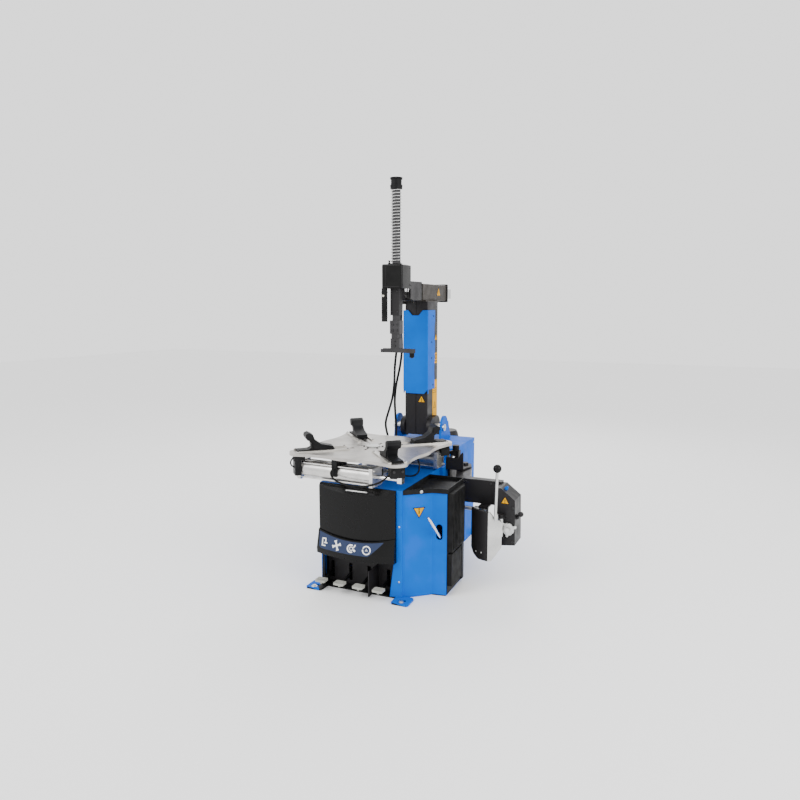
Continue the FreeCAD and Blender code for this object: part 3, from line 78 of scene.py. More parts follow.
# Pairs for placing things: the way that a line runs to the surface, and what is to the right there.
FROM_FRONT = ((0, 1, 0), (1, 0, 0))
FROM_BACK = ((0, -1, 0), (-1, 0, 0))
FROM_LEFT = ((1, 0, 0), (0, -1, 0))
FROM_RIGHT = ((-1, 0, 0), (0, 1, 0))
FROM_ABOVE = ((0, 0, -1), (1, 0, 0))
FROM_SIDE_FACET = ((-0.648, 0.761, 0), (0.761, 0.648, 0))


# ---------------------------------------------------------------- camera

def make_camera():
    """A camera in front of the machine and to its right, which looks slightly down."""
    data = bpy.data.cameras.new("view")
    data.lens = 30.35
    data.sensor_width = 36
    camera = bpy.data.objects.new("view", data)
    camera.location = (1.448, -2.968, 1.350)
    camera.rotation_euler = (math.radians(82.1), 0, math.radians(23.7))
    bpy.context.scene.collection.objects.link(camera)
    bpy.context.scene.camera = camera


make_camera()


# ---------------------------------------------------------------- materials

def new_material(name, colour, metallic, roughness):
    """A plain principled material, to be varied by its caller."""
    material = bpy.data.materials.new(name)
    material.use_nodes = True
    shader = material.node_tree.nodes["Principled BSDF"]
    shader.inputs["Base Color"].default_value = (*colour, 1)
    shader.inputs["Metallic"].default_value = metallic
    shader.inputs["Roughness"].default_value = roughness
    return material, material.node_tree, shader


def object_point(tree, stretch=(1, 1, 1)):
    """The place on the object, with axes scaled by stretch."""
    place = tree.nodes.new("ShaderNodeTexCoord")
    mapping = tree.nodes.new("ShaderNodeMapping")
    mapping.inputs["Scale"].default_value = stretch
    tree.links.new(place.outputs["Object"], mapping.inputs["Vector"])
    return mapping.outputs["Vector"]


def noise(tree, point, size, detail=4.0):
    """A cloud pattern whose features are about size metres across."""
    node = tree.nodes.new("ShaderNodeTexNoise")
    node.inputs["Scale"].default_value = 1 / size
    node.inputs["Detail"].default_value = detail
    tree.links.new(point, node.inputs["Vector"])
    return node.outputs["Fac"]


def ramp(tree, value, low, high, start=0.35, stop=0.65):
    """Turns a 0 to 1 value into a range of numbers."""
    node = tree.nodes.new("ShaderNodeMapRange")
    node.inputs["From Min"].default_value = start
    node.inputs["From Max"].default_value = stop
    node.inputs["To Min"].default_value = low
    node.inputs["To Max"].default_value = high
    tree.links.new(value, node.inputs["Value"])
    return node.outputs["Result"]


def blend_colours(tree, value, first, second):
    """Mixes two colours by a 0 to 1 value."""
    node = tree.nodes.new("ShaderNodeMix")
    node.data_type = "RGBA"
    node.inputs[6].default_value = (*first, 1)
    node.inputs[7].default_value = (*second, 1)
    tree.links.new(value, node.inputs[0])
    return node.outputs[2]


def relief(tree, shader, height, strength, distance):
    """Bumps the surface by a height pattern, distance metres deep."""
    bump = tree.nodes.new("ShaderNodeBump")
    bump.inputs["Strength"].default_value = strength
    bump.inputs["Distance"].default_value = distance
    tree.links.new(height, bump.inputs["Height"])
    tree.links.new(bump.outputs["Normal"], shader.inputs["Normal"])


def shade(colour, factor):
    return tuple(min(1.0, part * factor) for part in colour)


def painted(name, colour, roughness, peel=0.08, specular=0.10):
    """Sprayed paint: orange peel, and faint clouds of dust."""
    material, tree, shader = new_material(name, colour, 0.0, roughness)
    shader.inputs["Specular IOR Level"].default_value = specular
    point = object_point(tree)
    clouds = ramp(tree, noise(tree, point, 0.16), 0, 1)
    tint = blend_colours(tree, clouds, shade(colour, 0.90), shade(colour, 1.06))
    tree.links.new(tint, shader.inputs["Base Color"])
    marks = noise(tree, point, 0.05, 6)
    tree.links.new(ramp(tree, marks, roughness - 0.06, roughness + 0.10), shader.inputs["Roughness"])
    relief(tree, shader, noise(tree, point, 0.0016, 2), peel, 0.0004)
    return material


def metal(name, colour, roughness, stretch=(1, 1, 1), grain=0.0012, strength=0.15, metallic=1.0):
    """Bare metal, with brush lines along the axis that stretch makes long."""
    material, tree, shader = new_material(name, colour, metallic, roughness)
    point = object_point(tree, stretch)
    lines = noise(tree, point, grain, 5)
    stains = ramp(tree, noise(tree, object_point(tree), 0.07, 6), 0, 1)
    tint = blend_colours(tree, stains, shade(colour, 0.82), shade(colour, 1.05))
    tree.links.new(tint, shader.inputs["Base Color"])
    tree.links.new(ramp(tree, lines, roughness - 0.07, roughness + 0.12), shader.inputs["Roughness"])
    relief(tree, shader, lines, strength, 0.0003)
    return material


def plastic(name, colour, roughness, grain=0.0009, strength=0.25):
    """Moulded plastic or rubber, with a fine grain and faint handling marks."""
    material, tree, shader = new_material(name, colour, 0.0, roughness)
    shader.inputs["Specular IOR Level"].default_value = 0.12
    point = object_point(tree)
    marks = ramp(tree, noise(tree, point, 0.045, 7), 0, 1)
    worn = tuple(part * 1.15 + 0.004 for part in colour)
    tree.links.new(blend_colours(tree, marks, shade(colour, 0.8), worn), shader.inputs["Base Color"])
    rubs = noise(tree, point, 0.03, 5)
    tree.links.new(ramp(tree, rubs, roughness - 0.05, roughness + 0.08), shader.inputs["Roughness"])
    relief(tree, shader, noise(tree, point, grain, 3), strength, 0.0004)
    return material


def label_sheet(name, colour, roughness=0.35):
    """Printed vinyl: an even colour with a slight sheen and tiny creases."""
    material, tree, shader = new_material(name, colour, 0.0, roughness)
    shader.inputs["Specular IOR Level"].default_value = 0.06
    point = object_point(tree)
    fade = ramp(tree, noise(tree, point, 0.02, 3), 0, 1)
    tint = blend_colours(tree, fade, shade(colour, 0.93), shade(colour, 1.03))
    tree.links.new(tint, shader.inputs["Base Color"])
    relief(tree, shader, noise(tree, point, 0.006, 2), 0.08, 0.0003)
    return material


MATERIALS = {
    "blue_paint": painted("blue_paint", (0.0, 0.100, 0.50), 0.38, specular=0.04),
    "dark_paint": painted("dark_paint", (0.014, 0.013, 0.014), 0.40, peel=0.2, specular=0.18),
    "grey_paint": painted("grey_paint", (0.036, 0.031, 0.027), 0.42, peel=0.25, specular=0.12),
    "light_steel": metal("light_steel", (0.60, 0.60, 0.59), 0.34, stretch=(1, 1, 0.1)),
    "table_steel": metal("table_steel", (0.46, 0.44, 0.415), 0.32, stretch=(0.04, 1, 1),
                         grain=0.0010, strength=0.12, metallic=0.95),
    "dark_steel": metal("dark_steel", (0.045, 0.044, 0.046), 0.38, stretch=(1, 1, 0.15),
                        grain=0.002, strength=0.2, metallic=0.8),
    "bright_chrome": metal("bright_chrome", (0.80, 0.80, 0.81), 0.12, grain=0.01, strength=0.03),
    "cylinder_aluminium": metal("cylinder_aluminium", (0.60, 0.59, 0.57), 0.30, stretch=(0.05, 1, 1),
                                grain=0.0014, strength=0.12, metallic=0.95),
    "gloss_black": painted("gloss_black", (0.0025, 0.0025, 0.0025), 0.22, peel=0.03, specular=0.16),
    "matt_black": plastic("matt_black", (0.005, 0.005, 0.0055), 0.46),
    "rubber_black": plastic("rubber_black", (0.005, 0.005, 0.005), 0.62, grain=0.0016, strength=0.4),
    "pedal_coat": painted("pedal_coat", (0.34, 0.34, 0.31), 0.45, peel=0.3),
    "cream_plastic": plastic("cream_plastic", (0.58, 0.56, 0.49), 0.42),
}

# Finishes that no node has as its own: labels, and the polished rails.
EXTRA = {
    "yellow_label": label_sheet("yellow_label", (0.66, 0.32, 0.0), 0.5),
    "white_label": label_sheet("white_label", (0.88, 0.88, 0.86)),
    "black_print": label_sheet("black_print", (0.010, 0.010, 0.010)),
    "bezel_blue": label_sheet("bezel_blue", (0.030, 0.042, 0.085), 0.5),
    "rail_steel": metal("rail_steel", (0.62, 0.60, 0.56), 0.30, grain=0.001, strength=0.1, metallic=0.9),
}


# ---------------------------------------------------------------- finishes of the CAD nodes

def smooth(piece, angle=SMOOTH_DEG, weld=True):
    """Rounds the shading across shallow edges and keeps the sharp ones."""
    mesh = piece.data
    for face in mesh.polygons:
        face.use_smooth = True
    if "custom_normal" in mesh.attributes:
        mesh.attributes.remove(mesh.attributes["custom_normal"])
    if weld:
        join = piece.modifiers.new("weld", "WELD")
        join.merge_threshold = 0.002 * MM
    split = piece.modifiers.new("edges", "EDGE_SPLIT")
    split.split_angle = math.radians(angle)


def dress_nodes():
    """Gives every node the finish that its record names."""
    slots = {row["node"]: row["material_slot"] for row in frame["record"]["subparts"]}
    for name, node in NODES.items():
        node.data.materials.clear()
        node.data.materials.append(MATERIALS[slots[name]])
        smooth(node)


def second_finish(node_name, material, chosen):
    """Gives another finish to the faces of a node that chosen picks by centre, in millimetres, and normal."""
    mesh = NODES[node_name].data
    mesh.materials.append(material)
    index = len(mesh.materials) - 1
    for face in mesh.polygons:
        if chosen(face.center / MM, face.normal):
            face.material_index = index


def is_handle_ball(centre, _):
    """The ball on top of the blade holder's lever."""
    middle, radius = Vector((635.6, 3.4, 606)), 20.6
    return (centre - middle).length < radius


def is_shaded_panel_inside(centre, normal):
    """The inner face of the cabinet's left panel, made black as painted shade: the panel's paint is the same
    inside and out.
    """
    return abs(centre.x - LEFT_PANEL_INSIDE) < 0.6 and normal.x > 0.9


def is_foot_well(centre, normal):
    """The base plate behind the pedals, the inside of the left post, and the inner face of the left panel,
    whose black is painted shade.
    """
    floor = abs(centre.z - BASE_PLATE_TOP) < 0.6 and normal.z > 0.9
    edge = centre.z < BASE_PLATE_TOP + 0.2 and normal.y < -0.9
    post = -166 < centre.x < -130 and centre.y < -170 and centre.z < 200
    return floor or edge or post or is_shaded_panel_inside(centre, normal)


def is_pedal_arm(centre, _):
    """The arm of a pedal, behind its coated plate."""
    return centre.y > -271


def is_arm_tail(centre, _):
    """The end of the slide arm that sticks out behind its guide."""
    return centre.y > 880


def is_guide_fitting(centre, _):
    """The end plate at the back of the arm guide, and the hose manifold on its left."""
    return centre.y > 897.5 or centre.x < -68.2


def is_rail(centre, _):
    """The rails that stand on the turntable's plate."""
    return centre.z > TABLE_TOP + 0.5


def loose_shells(mesh):
    """The faces of a mesh, grouped by the shell that they belong to."""
    group = list(range(len(mesh.vertices)))

    def root(index):
        while group[index] != index:
            group[index] = group[group[index]]
            index = group[index]
        return index

    points = {}
    for vertex in mesh.vertices:
        place = tuple(round(part / MM, 3) for part in vertex.co)
        group[vertex.index] = points.setdefault(place, vertex.index)
    for edge in mesh.edges:
        group[root(edge.vertices[0])] = root(edge.vertices[1])
    shells = {}
    for face in mesh.polygons:
        shells.setdefault(root(face.vertices[0]), []).append(face)
    return list(shells.values())


def two_tone_jaw(node_name):
    """Blackens the hood of a jaw, which is the shell that reaches down least."""
    mesh = NODES[node_name].data
    mesh.materials.append(MATERIALS["matt_black"])
    for face in max(loose_shells(mesh), key=lambda faces: min(face.center.z for face in faces)):
        face.material_index = 1


dress_nodes()
for number in range(1, 5):
    two_tone_jaw(f"jaw_{number}")
    second_finish(f"pedal_{number}", MATERIALS["matt_black"], is_pedal_arm)
second_finish("blade_holder", MATERIALS["gloss_black"], is_handle_ball)
# The black on the inner face of the left panel, here and on the left cover, is painted shade.
second_finish("cabinet_chassis", MATERIALS["matt_black"], is_foot_well)
second_finish("left_cover", MATERIALS["matt_black"], is_shaded_panel_inside)
second_finish("slide_arm", MATERIALS["grey_paint"], is_arm_tail)
second_finish("arm_guide", MATERIALS["dark_paint"], is_guide_fitting)
second_finish("turntable_plate", EXTRA["rail_steel"], is_rail)


# ---------------------------------------------------------------- piece building

def new_object(name, data):
    piece = bpy.data.objects.new(name, data)
    bpy.context.scene.collection.objects.link(piece)
    return piece


def surface(origin, right, up):
    """A place on a surface: X along right, Y along up, Z out of it."""
    x = Vector(right).normalized()
    z = x.cross(Vector(up)).normalized()
    y = z.cross(x)
    place = Matrix((x, y, z)).transposed().to_4x4()
    place.translation = Vector(origin)
    return place


def slab(bm, place, outline, low, high, finish=0):
    """A flat piece with the given outline, between two heights over its place."""
    lower = [bm.verts.new(place @ Vector((x, y, low))) for x, y in outline]
    upper = [bm.verts.new(place @ Vector((x, y, high))) for x, y in outline]
    faces = [bm.faces.new(upper), bm.faces.new(lower[::-1])]
    for index in range(len(outline)):
        after = (index + 1) % len(outline)
        faces.append(bm.faces.new((lower[index], lower[after], upper[after], upper[index])))
    for face in faces:
        face.material_index = finish


def lathe(bm, place, profile, segments=24, finish=0):
    """Turns (radius, height) points round the place's normal."""
    turns = [2 * math.pi * step / segments for step in range(segments)]
    rings = []
    for radius, height in profile:
        if radius < 1e-6:
            rings.append([bm.verts.new(place @ Vector((0, 0, height)))])
            continue
        ring = [Vector((radius * math.cos(t), radius * math.sin(t), height)) for t in turns]
        rings.append([bm.verts.new(place @ point) for point in ring])
    for first, second in zip(rings, rings[1:]):
        for step in range(segments):
            after = (step + 1) % segments
            corners = [first[step % len(first)], first[after % len(first)],
                       second[after % len(second)], second[step % len(second)]]
            unique = list(dict.fromkeys(corners))
            if len(unique) > 2:
                bm.faces.new(unique).material_index = finish


def round_outline(width, height, radius, steps=5):
    """A rectangle with round corners."""
    points = []
    for cx, cy, turn in ((1, 1, 0), (-1, 1, 90), (-1, -1, 180), (1, -1, 270)):
        for step in range(steps + 1):
            angle = math.radians(turn + 90 * step / steps)
            points.append((cx * (width / 2 - radius) + radius * math.cos(angle),
                           cy * (height / 2 - radius) + radius * math.sin(angle)))
    return points


def circle_outline(radius, segments=20, x=0, y=0):
    turns = [2 * math.pi * step / segments for step in range(segments)]
    return [(x + radius * math.cos(t), y + radius * math.sin(t)) for t in turns]


def triangle_outline(size, point_up=True):
    """A triangle of three nearly equal sides, about its middle."""
    way = 1 if point_up else -1
    base, tip = -way * size * 0.29, way * size * 0.58
    return [(-size / 2, base), (size / 2, base), (0, tip)][::way]


def make_piece(name, bm, body, finishes, bevel=0.0, angle=SMOOTH_DEG):
    """Puts built geometry in the scene as a piece on a body, with the finishes as its materials in order."""
    bmesh.ops.recalc_face_normals(bm, faces=bm.faces)
    bmesh.ops.scale(bm, vec=(MM, MM, MM), verts=bm.verts)
    mesh = bpy.data.meshes.new(name)
    bm.to_mesh(mesh)
    bm.free()
    piece = new_object(name, mesh)
    for finish in finishes:
        mesh.materials.append(MATERIALS.get(finish) or EXTRA[finish])
    if bevel:
        edge = piece.modifiers.new("bevel", "BEVEL")
        edge.width = bevel * MM
        edge.segments = 2
        edge.limit_method = "ANGLE"
        edge.angle_limit = math.radians(BEVEL_FROM_DEG)
    smooth(piece, angle, weld=False)
    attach(piece, body)
    return piece


def socket_screw(bm, place, radius):
    """A round head with a blind hole for the key."""
    high, hole, floor = radius * 0.85, radius * 0.55, radius * 0.85 * 0.45
    lathe(bm, place, [(radius, 0), (radius, high * 0.75), (radius * 0.85, high), (hole, high)], 20)
    lathe(bm, place, [(hole, high), (radius * 0.5, floor), (0, floor)], 20)


def hex_bolt(bm, place, radius):
    """A hexagon head on a washer."""
    washer, base = radius * 1.75, radius * 0.22
    lathe(bm, place, [(washer, 0), (washer, base * 0.8), (radius * 1.65, base), (0, base)], 24)
    head, top = radius * 1.15, base + radius * 0.75
    lathe(bm, place, [(head, base), (head, top * 0.92), (radius * 0.98, top), (0, top)], 6)


def pan_screw(bm, place, radius):
    """A low domed head with a dimple in its middle."""
    dome = [(radius, 0), (radius * 0.96, radius * 0.25), (radius * 0.7, radius * 0.48)]
    dimple = [(radius * 0.32, radius * 0.55), (radius * 0.18, radius * 0.3), (0, radius * 0.25)]
    lathe(bm, place, dome + dimple, 20)


def screws(name, body, places, radius, kind=pan_screw, finish="light_steel"):
    """One piece with a screw head at each place."""
    bm = bmesh.new()
    for place in places:
        kind(bm, place, radius)
    return make_piece(name, bm, body, [finish])


def route_curve(name, points, diameter):
    """A curve object along a smooth route, with the hose's thickness."""
    curve = bpy.data.curves.new(name, "CURVE")
    curve.dimensions = "3D"
    curve.bevel_depth = diameter / 2 * MM
    curve.bevel_resolution = 4
    curve.resolution_u = 12
    spline = curve.splines.new("NURBS")
    spline.points.add(len(points) - 1)
    for slot, point in zip(spline.points, points):
        slot.co = (*[part * MM for part in point], 1)
    spline.order_u = 3
    spline.use_endpoint_u = True
    return new_object(name, curve)


def air_line(name, body, points, diameter):
    """A short hose held at both ends."""
    piece = route_curve(name, points, diameter)
    piece.data.materials.append(MATERIALS["rubber_black"])
    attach(piece, body)


def curve_mesh(piece):
    """The mesh that a curve object makes."""
    bpy.context.view_layer.update()
    return bpy.data.meshes.new_from_object(piece.evaluated_get(bpy.context.evaluated_depsgraph_get()))


# ---------------------------------------------------------------- free hoses beside the column

HOSE_ROUTES = {
    "column_hose_left": (
        (-84, 544, 1362), (-84, 544, 1290), (-94, 538, 1200), (-110, 533, 1105), (-118, 524, 1010),
        (-117, 518, 915), (-126, 512, 830), (-148, 506, 755), (-166, 502, 697), (-163, 500, 652),
        (-148, 500, 605)),
    "column_hose_right": (
        (-97, 553, 1362), (-97, 553, 1290), (-90, 556, 1200), (-86, 557, 1105), (-96, 552, 1010),
        (-117, 545, 915), (-124, 535, 822), (-112, 520, 735), (-101, 506, 665), (-100, 502, 605)),
}


def column_hoses():
    """The two free hoses, as smooth tubes in place of their CAD nodes."""
    for node, route in HOSE_ROUTES.items():
        curve = route_curve(node + "_route", route, HOSE_DIAMETER)
        tube = curve_mesh(curve)
        curve.data.bevel_depth = 0
        path = [vertex.co.copy() for vertex in curve_mesh(curve).vertices]
        bpy.data.objects.remove(curve)
        piece = new_object(node + "_line", tube)
        tube.materials.clear()
        tube.materials.append(MATERIALS["rubber_black"])
        for face in tube.polygons:
            face.use_smooth = True
        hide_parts(node)
        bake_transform(piece)


column_hoses()


# ---------------------------------------------------------------- pressing pieces onto CAD surfaces

def skin(node_name):
    """A search tree of a CAD node's surface."""
    mesh = NODES[node_name].data
    corners = [vertex.co for vertex in mesh.vertices]
    return BVHTree.FromPolygons(corners, [face.vertices for face in mesh.polygons])


def touch(tree, start, way):
    """The point in millimetres and the normal where a line from start meets a surface."""
    point, normal, _, _ = tree.ray_cast(Vector(start) * MM, Vector(way).normalized())
    if point is None:
        raise RuntimeError(f"nothing is met from {tuple(start)} along {tuple(way)}")
    if normal.dot(Vector(way)) > 0:
        normal = -normal
    return point / MM, normal


def seat(tree, start, way, right):
    """A place on the surface that a line from start meets, with its X axis close to right."""
    point, normal = touch(tree, start, way)
    across = Vector(right) - normal * normal.dot(Vector(right))
    return surface(point, across, normal.cross(across))


def seats(node_name, points, way, right):
    """Places where lines from the points, all running the same way, meet a node."""
    tree = skin(node_name)
    return [seat(tree, point, way, right) for point in points]


def bar(length, width, turn=0.0, x=0.0, y=0.0):
    """The outline of a narrow bar, turned about its middle."""
    c, s = math.cos(math.radians(turn)), math.sin(math.radians(turn))
    corners = ((-length, -width), (length, -width), (length, width), (-length, width))
    return [(x + (a * c - b * s) / 2, y + (a * s + b * c) / 2) for a, b in corners]


def arc_band(radius, width, start, stop, x=0.0, steps=12):
    """The outline of a part of a ring."""
    turns = [math.radians(start + (stop - start) * step / steps) for step in range(steps + 1)]
    hole = radius - width
    outer = [(x + radius * math.cos(t), radius * math.sin(t)) for t in turns]
    inner = [(x + hole * math.cos(t), hole * math.sin(t)) for t in reversed(turns)]
    return outer + inner


# ---------------------------------------------------------------- front cover and bezel

LABEL_XS = [-160 + 9 * step for step in range(39)]
LABEL_ROWS = 5
LABEL_MIDDLE, LABEL_HALF = 34, 214
LABEL_LOW, LABEL_HIGH, LABEL_RISE = 205, 262, 27
LABEL_CUT_FROM, LABEL_CUT_WIDTH = 112, 72
LABEL_NOTCH_TO = -150


def label_edges(x):
    """The lowest and highest height of the bezel's label at x."""
    high = LABEL_HIGH + LABEL_RISE * ((x - LABEL_MIDDLE) / LABEL_HALF) ** 2
    low = LABEL_LOW
    if x >= LABEL_CUT_FROM:
        low += (x - LABEL_CUT_FROM) / LABEL_CUT_WIDTH * (high - LABEL_LOW)
    if x < LABEL_NOTCH_TO:
        low += (LABEL_NOTCH_TO - x) * 0.8
    return min(low, high - 0.5), high


def label_sheet_points(bm, tree, lift):
    """Columns of points that lie over the bezel, lift millimetres proud of it."""
    sheet = []
    for x in LABEL_XS:
        low, high = label_edges(x)
        heights = [low + (high - low) * row / LABEL_ROWS for row in range(LABEL_ROWS + 1)]
        points = [touch(tree, (x, -500, z), (0, 1, 0))[0] - Vector((0, lift, 0)) for z in heights]
        sheet.append([bm.verts.new(point) for point in points])
    return sheet


def bezel_label():
    """A label that follows the bowed bezel."""
    tree = skin("control_bezel")
    bm = bmesh.new()
    outer = label_sheet_points(bm, tree, 0.9)
    inner = label_sheet_points(bm, tree, -0.2)
    last = len(outer) - 1
    for i in range(last):
        for j in range(LABEL_ROWS):
            bm.faces.new((outer[i][j], outer[i + 1][j], outer[i + 1][j + 1], outer[i][j + 1]))
            bm.faces.new((inner[i][j], inner[i][j + 1], inner[i + 1][j + 1], inner[i + 1][j]))
        for j in (0, LABEL_ROWS):
            bm.faces.new((outer[i][j], outer[i + 1][j], inner[i + 1][j], inner[i][j]))
    for i in (0, last):
        for j in range(LABEL_ROWS):
            bm.faces.new((outer[i][j], outer[i][j + 1], inner[i][j + 1], inner[i][j]))
    make_piece("bezel_label", bm, "cabinet", ["bezel_blue"])


def icon_column():
    """A post with its arm, for the pedal that tilts the column."""
    post, arm, head = bar(6, 38, 0, -8, 0), bar(26, 6, 0, 2, 16), bar(6, 18, 0, 12, 8)
    return [post, arm, head, bar(20, 5, 0, 12, -4), bar(24, 5, 0, 0, -18)]


def icon_cross():
    """Four jaws round a hub, for the pedal that clamps."""
    def four_bars(length, width, distance):
        turns = [(turn, math.radians(turn)) for turn in (20, 110, 200, 290)]
        return [bar(length, width, turn, distance * math.cos(t), distance * math.sin(t)) for turn, t in turns]

    return four_bars(17, 8, 12) + four_bars(6, 14, 21) + [circle_outline(7, 14)]


def icon_bead():
    """A tyre with a blade against it, for the bead breaker's pedal."""
    tyre, rim = arc_band(20, 6, 60, 300, -3), arc_band(10, 3.5, 0, 350, -1)
    return [tyre, rim, bar(18, 5, 60, 15, 12), bar(12, 8, -30, 15, -7)]


def icon_turn():
    """A ring in two arcs, for the pedal that turns the table."""
    return [arc_band(21, 5, -20, 160), arc_band(21, 5, 175, 330), triangle_outline(13), circle_outline(4, 12)]


ICONS = (((-130, 238), icon_column), ((-53, 234), icon_cross),
         ((28, 232), icon_bead), ((104, 233), icon_turn))


def bezel_icons():
    tree = skin("control_bezel")
    bm = bmesh.new()
    for (x, z), icon in ICONS:
        place = seat(tree, (x, -500, z), *FROM_FRONT)
        for outline in icon():
            slab(bm, place, outline, 0.5, 1.9)
    make_piece("bezel_icons", bm, "cabinet", ["white_label"])


def cover_fittings():
    """The handle slot on top of the front cover, with a light steel bar in it that paints the highlight on
    the slot's lip, and the screws in the post beside it.
    """
    bm = bmesh.new()
    place = seat(skin("front_cover"), (40, -262, 700), *FROM_ABOVE)
    slab(bm, place, round_outline(132, 20, 9.9), -0.5, 2.0, 0)
    # The light steel bar is a painted highlight along the slot's lip.
    slab(bm, place, round_outline(112, 6, 2.9), 1.5, 3.4, 1)
    make_piece("cover_handle_painted_highlight", bm, "cabinet", ["matt_black", "light_steel"], 0.6)
    places = seats("cabinet_chassis", [(247, -500, 349), (246, -500, 84)], *FROM_FRONT)
    screws("front_post_screws", "cabinet", places, 5)


# ---------------------------------------------------------------- signs

def sign(bm, place, size, point_up=True):
    """A warning triangle without words: dark border, yellow field and a dark bar with a dot."""
    slab(bm, place, triangle_outline(size, point_up), -0.2, 0.6, 1)
    slab(bm, place, triangle_outline(size * 0.80, point_up), 0.4, 0.9, 0)
    way = 1 if point_up else -1
    slab(bm, place, bar(size * 0.075, size * 0.28, 0, 0, way * size * 0.08), 0.7, 1.2, 1)
    slab(bm, place, circle_outline(size * 0.05, 12, 0, -way * size * 0.16), 0.7, 1.2, 1)


# Name, body, node, a point in front of the node, the side it is met from, size, and whether it points up.
SIGNS = (
    ("side_sign", "cabinet", "side_housing", (448, -328, 415), FROM_SIDE_FACET, 60, False),
    ("column_front_sign", "column", "column_tube", (34, 300, 823), FROM_FRONT, 48, True),
    ("column_side_sign", "column", "column_tube", (300, 690, 1170), FROM_RIGHT, 46, True),
    ("arm_sign", "column", "arm_guide", (300, 763, 1427), FROM_RIGHT, 60, True),
    ("breaker_sign", "breaker", "breaker_arm", (652, -300, 428), FROM_FRONT, 42, True),
)


def signs():
    for name, body, node, start, side, size, point_up in SIGNS:
        bm = bmesh.new()
        sign(bm, seat(skin(node), start, *side), size, point_up)
        make_piece(name, bm, body, ["yellow_label", "black_print"])


def column_labels():
    """A square label with a ring on it, and below it a tall one with lines and a sign."""
    bm = bmesh.new()
    place = seat(skin("column_tube"), (300, 692, 1055), *FROM_RIGHT)
    slab(bm, place, round_outline(48, 60, 5), -0.2, 0.6, 0)
    slab(bm, place, circle_outline(16, 24, 0, 8), 0.5, 0.9, 1)
    slab(bm, place, circle_outline(9, 20, 0, 8), 0.7, 1.2, 0)
    slab(bm, place, bar(34, 6, 0, 0, -18), 0.5, 0.9, 1)
    make_piece("column_side_label", bm, "column", ["yellow_label", "black_print"])
    bm = bmesh.new()
    place = surface((68, 678, 818), (0, 1, 0), (0, 0, 1))
    slab(bm, place, round_outline(74, 224, 4), -0.2, 0.6, 0)
    for row in range(3):
        slab(bm, place, bar(56, 2.5, 0, 0, 62 - 12 * row), 0.5, 0.9, 1)
    sign(bm, place @ Matrix.Translation((0, -40, 0.4)), 44)
    make_piece("column_yellow_label", bm, "column", ["yellow_label", "black_print"])


# ---------------------------------------------------------------- fasteners

def column_screws():
    """Four screws in each flank of the column's cover."""
    flank = ((634, 1296), (606, 1150), (606, 1060), (630, 905))
    places = seats("column_cover", [(300, y, z) for y, z in flank], *FROM_RIGHT)
    places += seats("column_cover", [(-300, y, z) for y, z in flank], *FROM_LEFT)
    screws("column_cover_screws", "column", places, 5.5, pan_screw, "dark_steel")


def cabinet_fasteners():
    screws("tray_screw", "cabinet", seats("side_tray", [(455, -322, 507)], *FROM_SIDE_FACET), 8)
    places = seats("blade_face", [(530, -200, 184), (560, -200, 186)], *FROM_FRONT)
    screws("blade_screws", "blade", places, 4.5)
    places = seats("rear_box", [(500, 775, z) for z in (40, 300, 560)], *FROM_RIGHT)
    places += seats("rear_box", [(-500, y, z) for y in (275, 775) for z in (40, 300, 500)], *FROM_LEFT)
    screws("rear_box_screws", "cabinet", places, 6)
    points = [(-500, y, z) for y in (-225, 238) for z in (30, 260, 500)]
    screws("left_cover_screws", "cabinet", seats("left_cover", points, *FROM_LEFT), 6)
    feet = [(276, -284), (-181, -288), (-181, 836), (276, 836)]
    places = seats("cabinet_chassis", [(x, y, 60) for x, y in feet], *FROM_ABOVE)
    screws("foot_bolts", "cabinet", places, 8, hex_bolt)


def table_fasteners():
    """The screws of the four end blocks, of the rails and of the centre cap."""
    blocks = skin("table_fittings")
    plate = skin("turntable_plate")
    block_places = []
    rail_places = []
    for quarter in range(4):
        turn = math.radians(45 + 90 * quarter + TABLE_TURN_DEG)
        out = Vector((math.cos(turn), math.sin(turn), 0))
        across = Vector((-out.y, out.x, 0))
        for side in (-20, 20):
            start = out * 500 + across * side + Vector((0, 0, 622))
            block_places.append(seat(blocks, start, -out, across))
        for radius, side in ((384, 37), (384, -37), (140, 37), (140, -37)):
            start = out * radius + across * side + Vector((0, 0, 700))
            rail_places.append(seat(plate, start, (0, 0, -1), out))
    screws("slide_block_screws", "turntable", block_places, 6, socket_screw, "dark_steel")
    screws("rail_screws", "turntable", rail_places, 4.5, pan_screw, "dark_steel")
    turns = [math.radians(20 + 60 * step) for step in range(6)]
    points = [(46 * math.cos(t), 46 * math.sin(t), TABLE_TOP) for t in turns]
    hub_places = [surface(point, (1, 0, 0), (0, 1, 0)) for point in points]
    screws("hub_screws", "turntable", hub_places, 5, socket_screw, "dark_steel")


# ---------------------------------------------------------------- loose air lines

# The name, diameter and route of each line, by the body that it rides on.
AIR_LINES = {
    "turntable": (
        ("cylinder_line_front", 9, (
            (-52, -284, 612), (-72, -297, 600), (-76, -301, 574), (-48, -303, 548), (20, -303, 534),
            (92, -302, 536), (160, -299, 554), (208, -292, 586), (230, -286, 618))),
        ("cylinder_line_side", 8, (
            (236, -8, 640), (262, -52, 626), (281, -76, 598), (276, -86, 566), (244, -100, 552),
            (196, -122, 562), (160, -150, 580))),
        ("cylinder_line_left", 7, (
            (-262, -268, 640), (-286, -284, 636), (-304, -288, 612), (-300, -280, 590), (-286, -262, 578))),
    ),
    "arm": (
        ("head_line_1", 6, (
            (46, 300, 1430), (47, 300, 1412), (58, 306, 1392),
            (76, 330, 1380), (70, 352, 1372), (50, 352, 1372))),
        ("head_line_2", 6, (
            (46, 326, 1430), (46, 327, 1408), (52, 338, 1386),
            (64, 356, 1366), (60, 380, 1360), (48, 400, 1376))),
    ),
}


def air_lines(body):
    for name, diameter, route in AIR_LINES[body]:
        air_line(name, body, route, diameter)


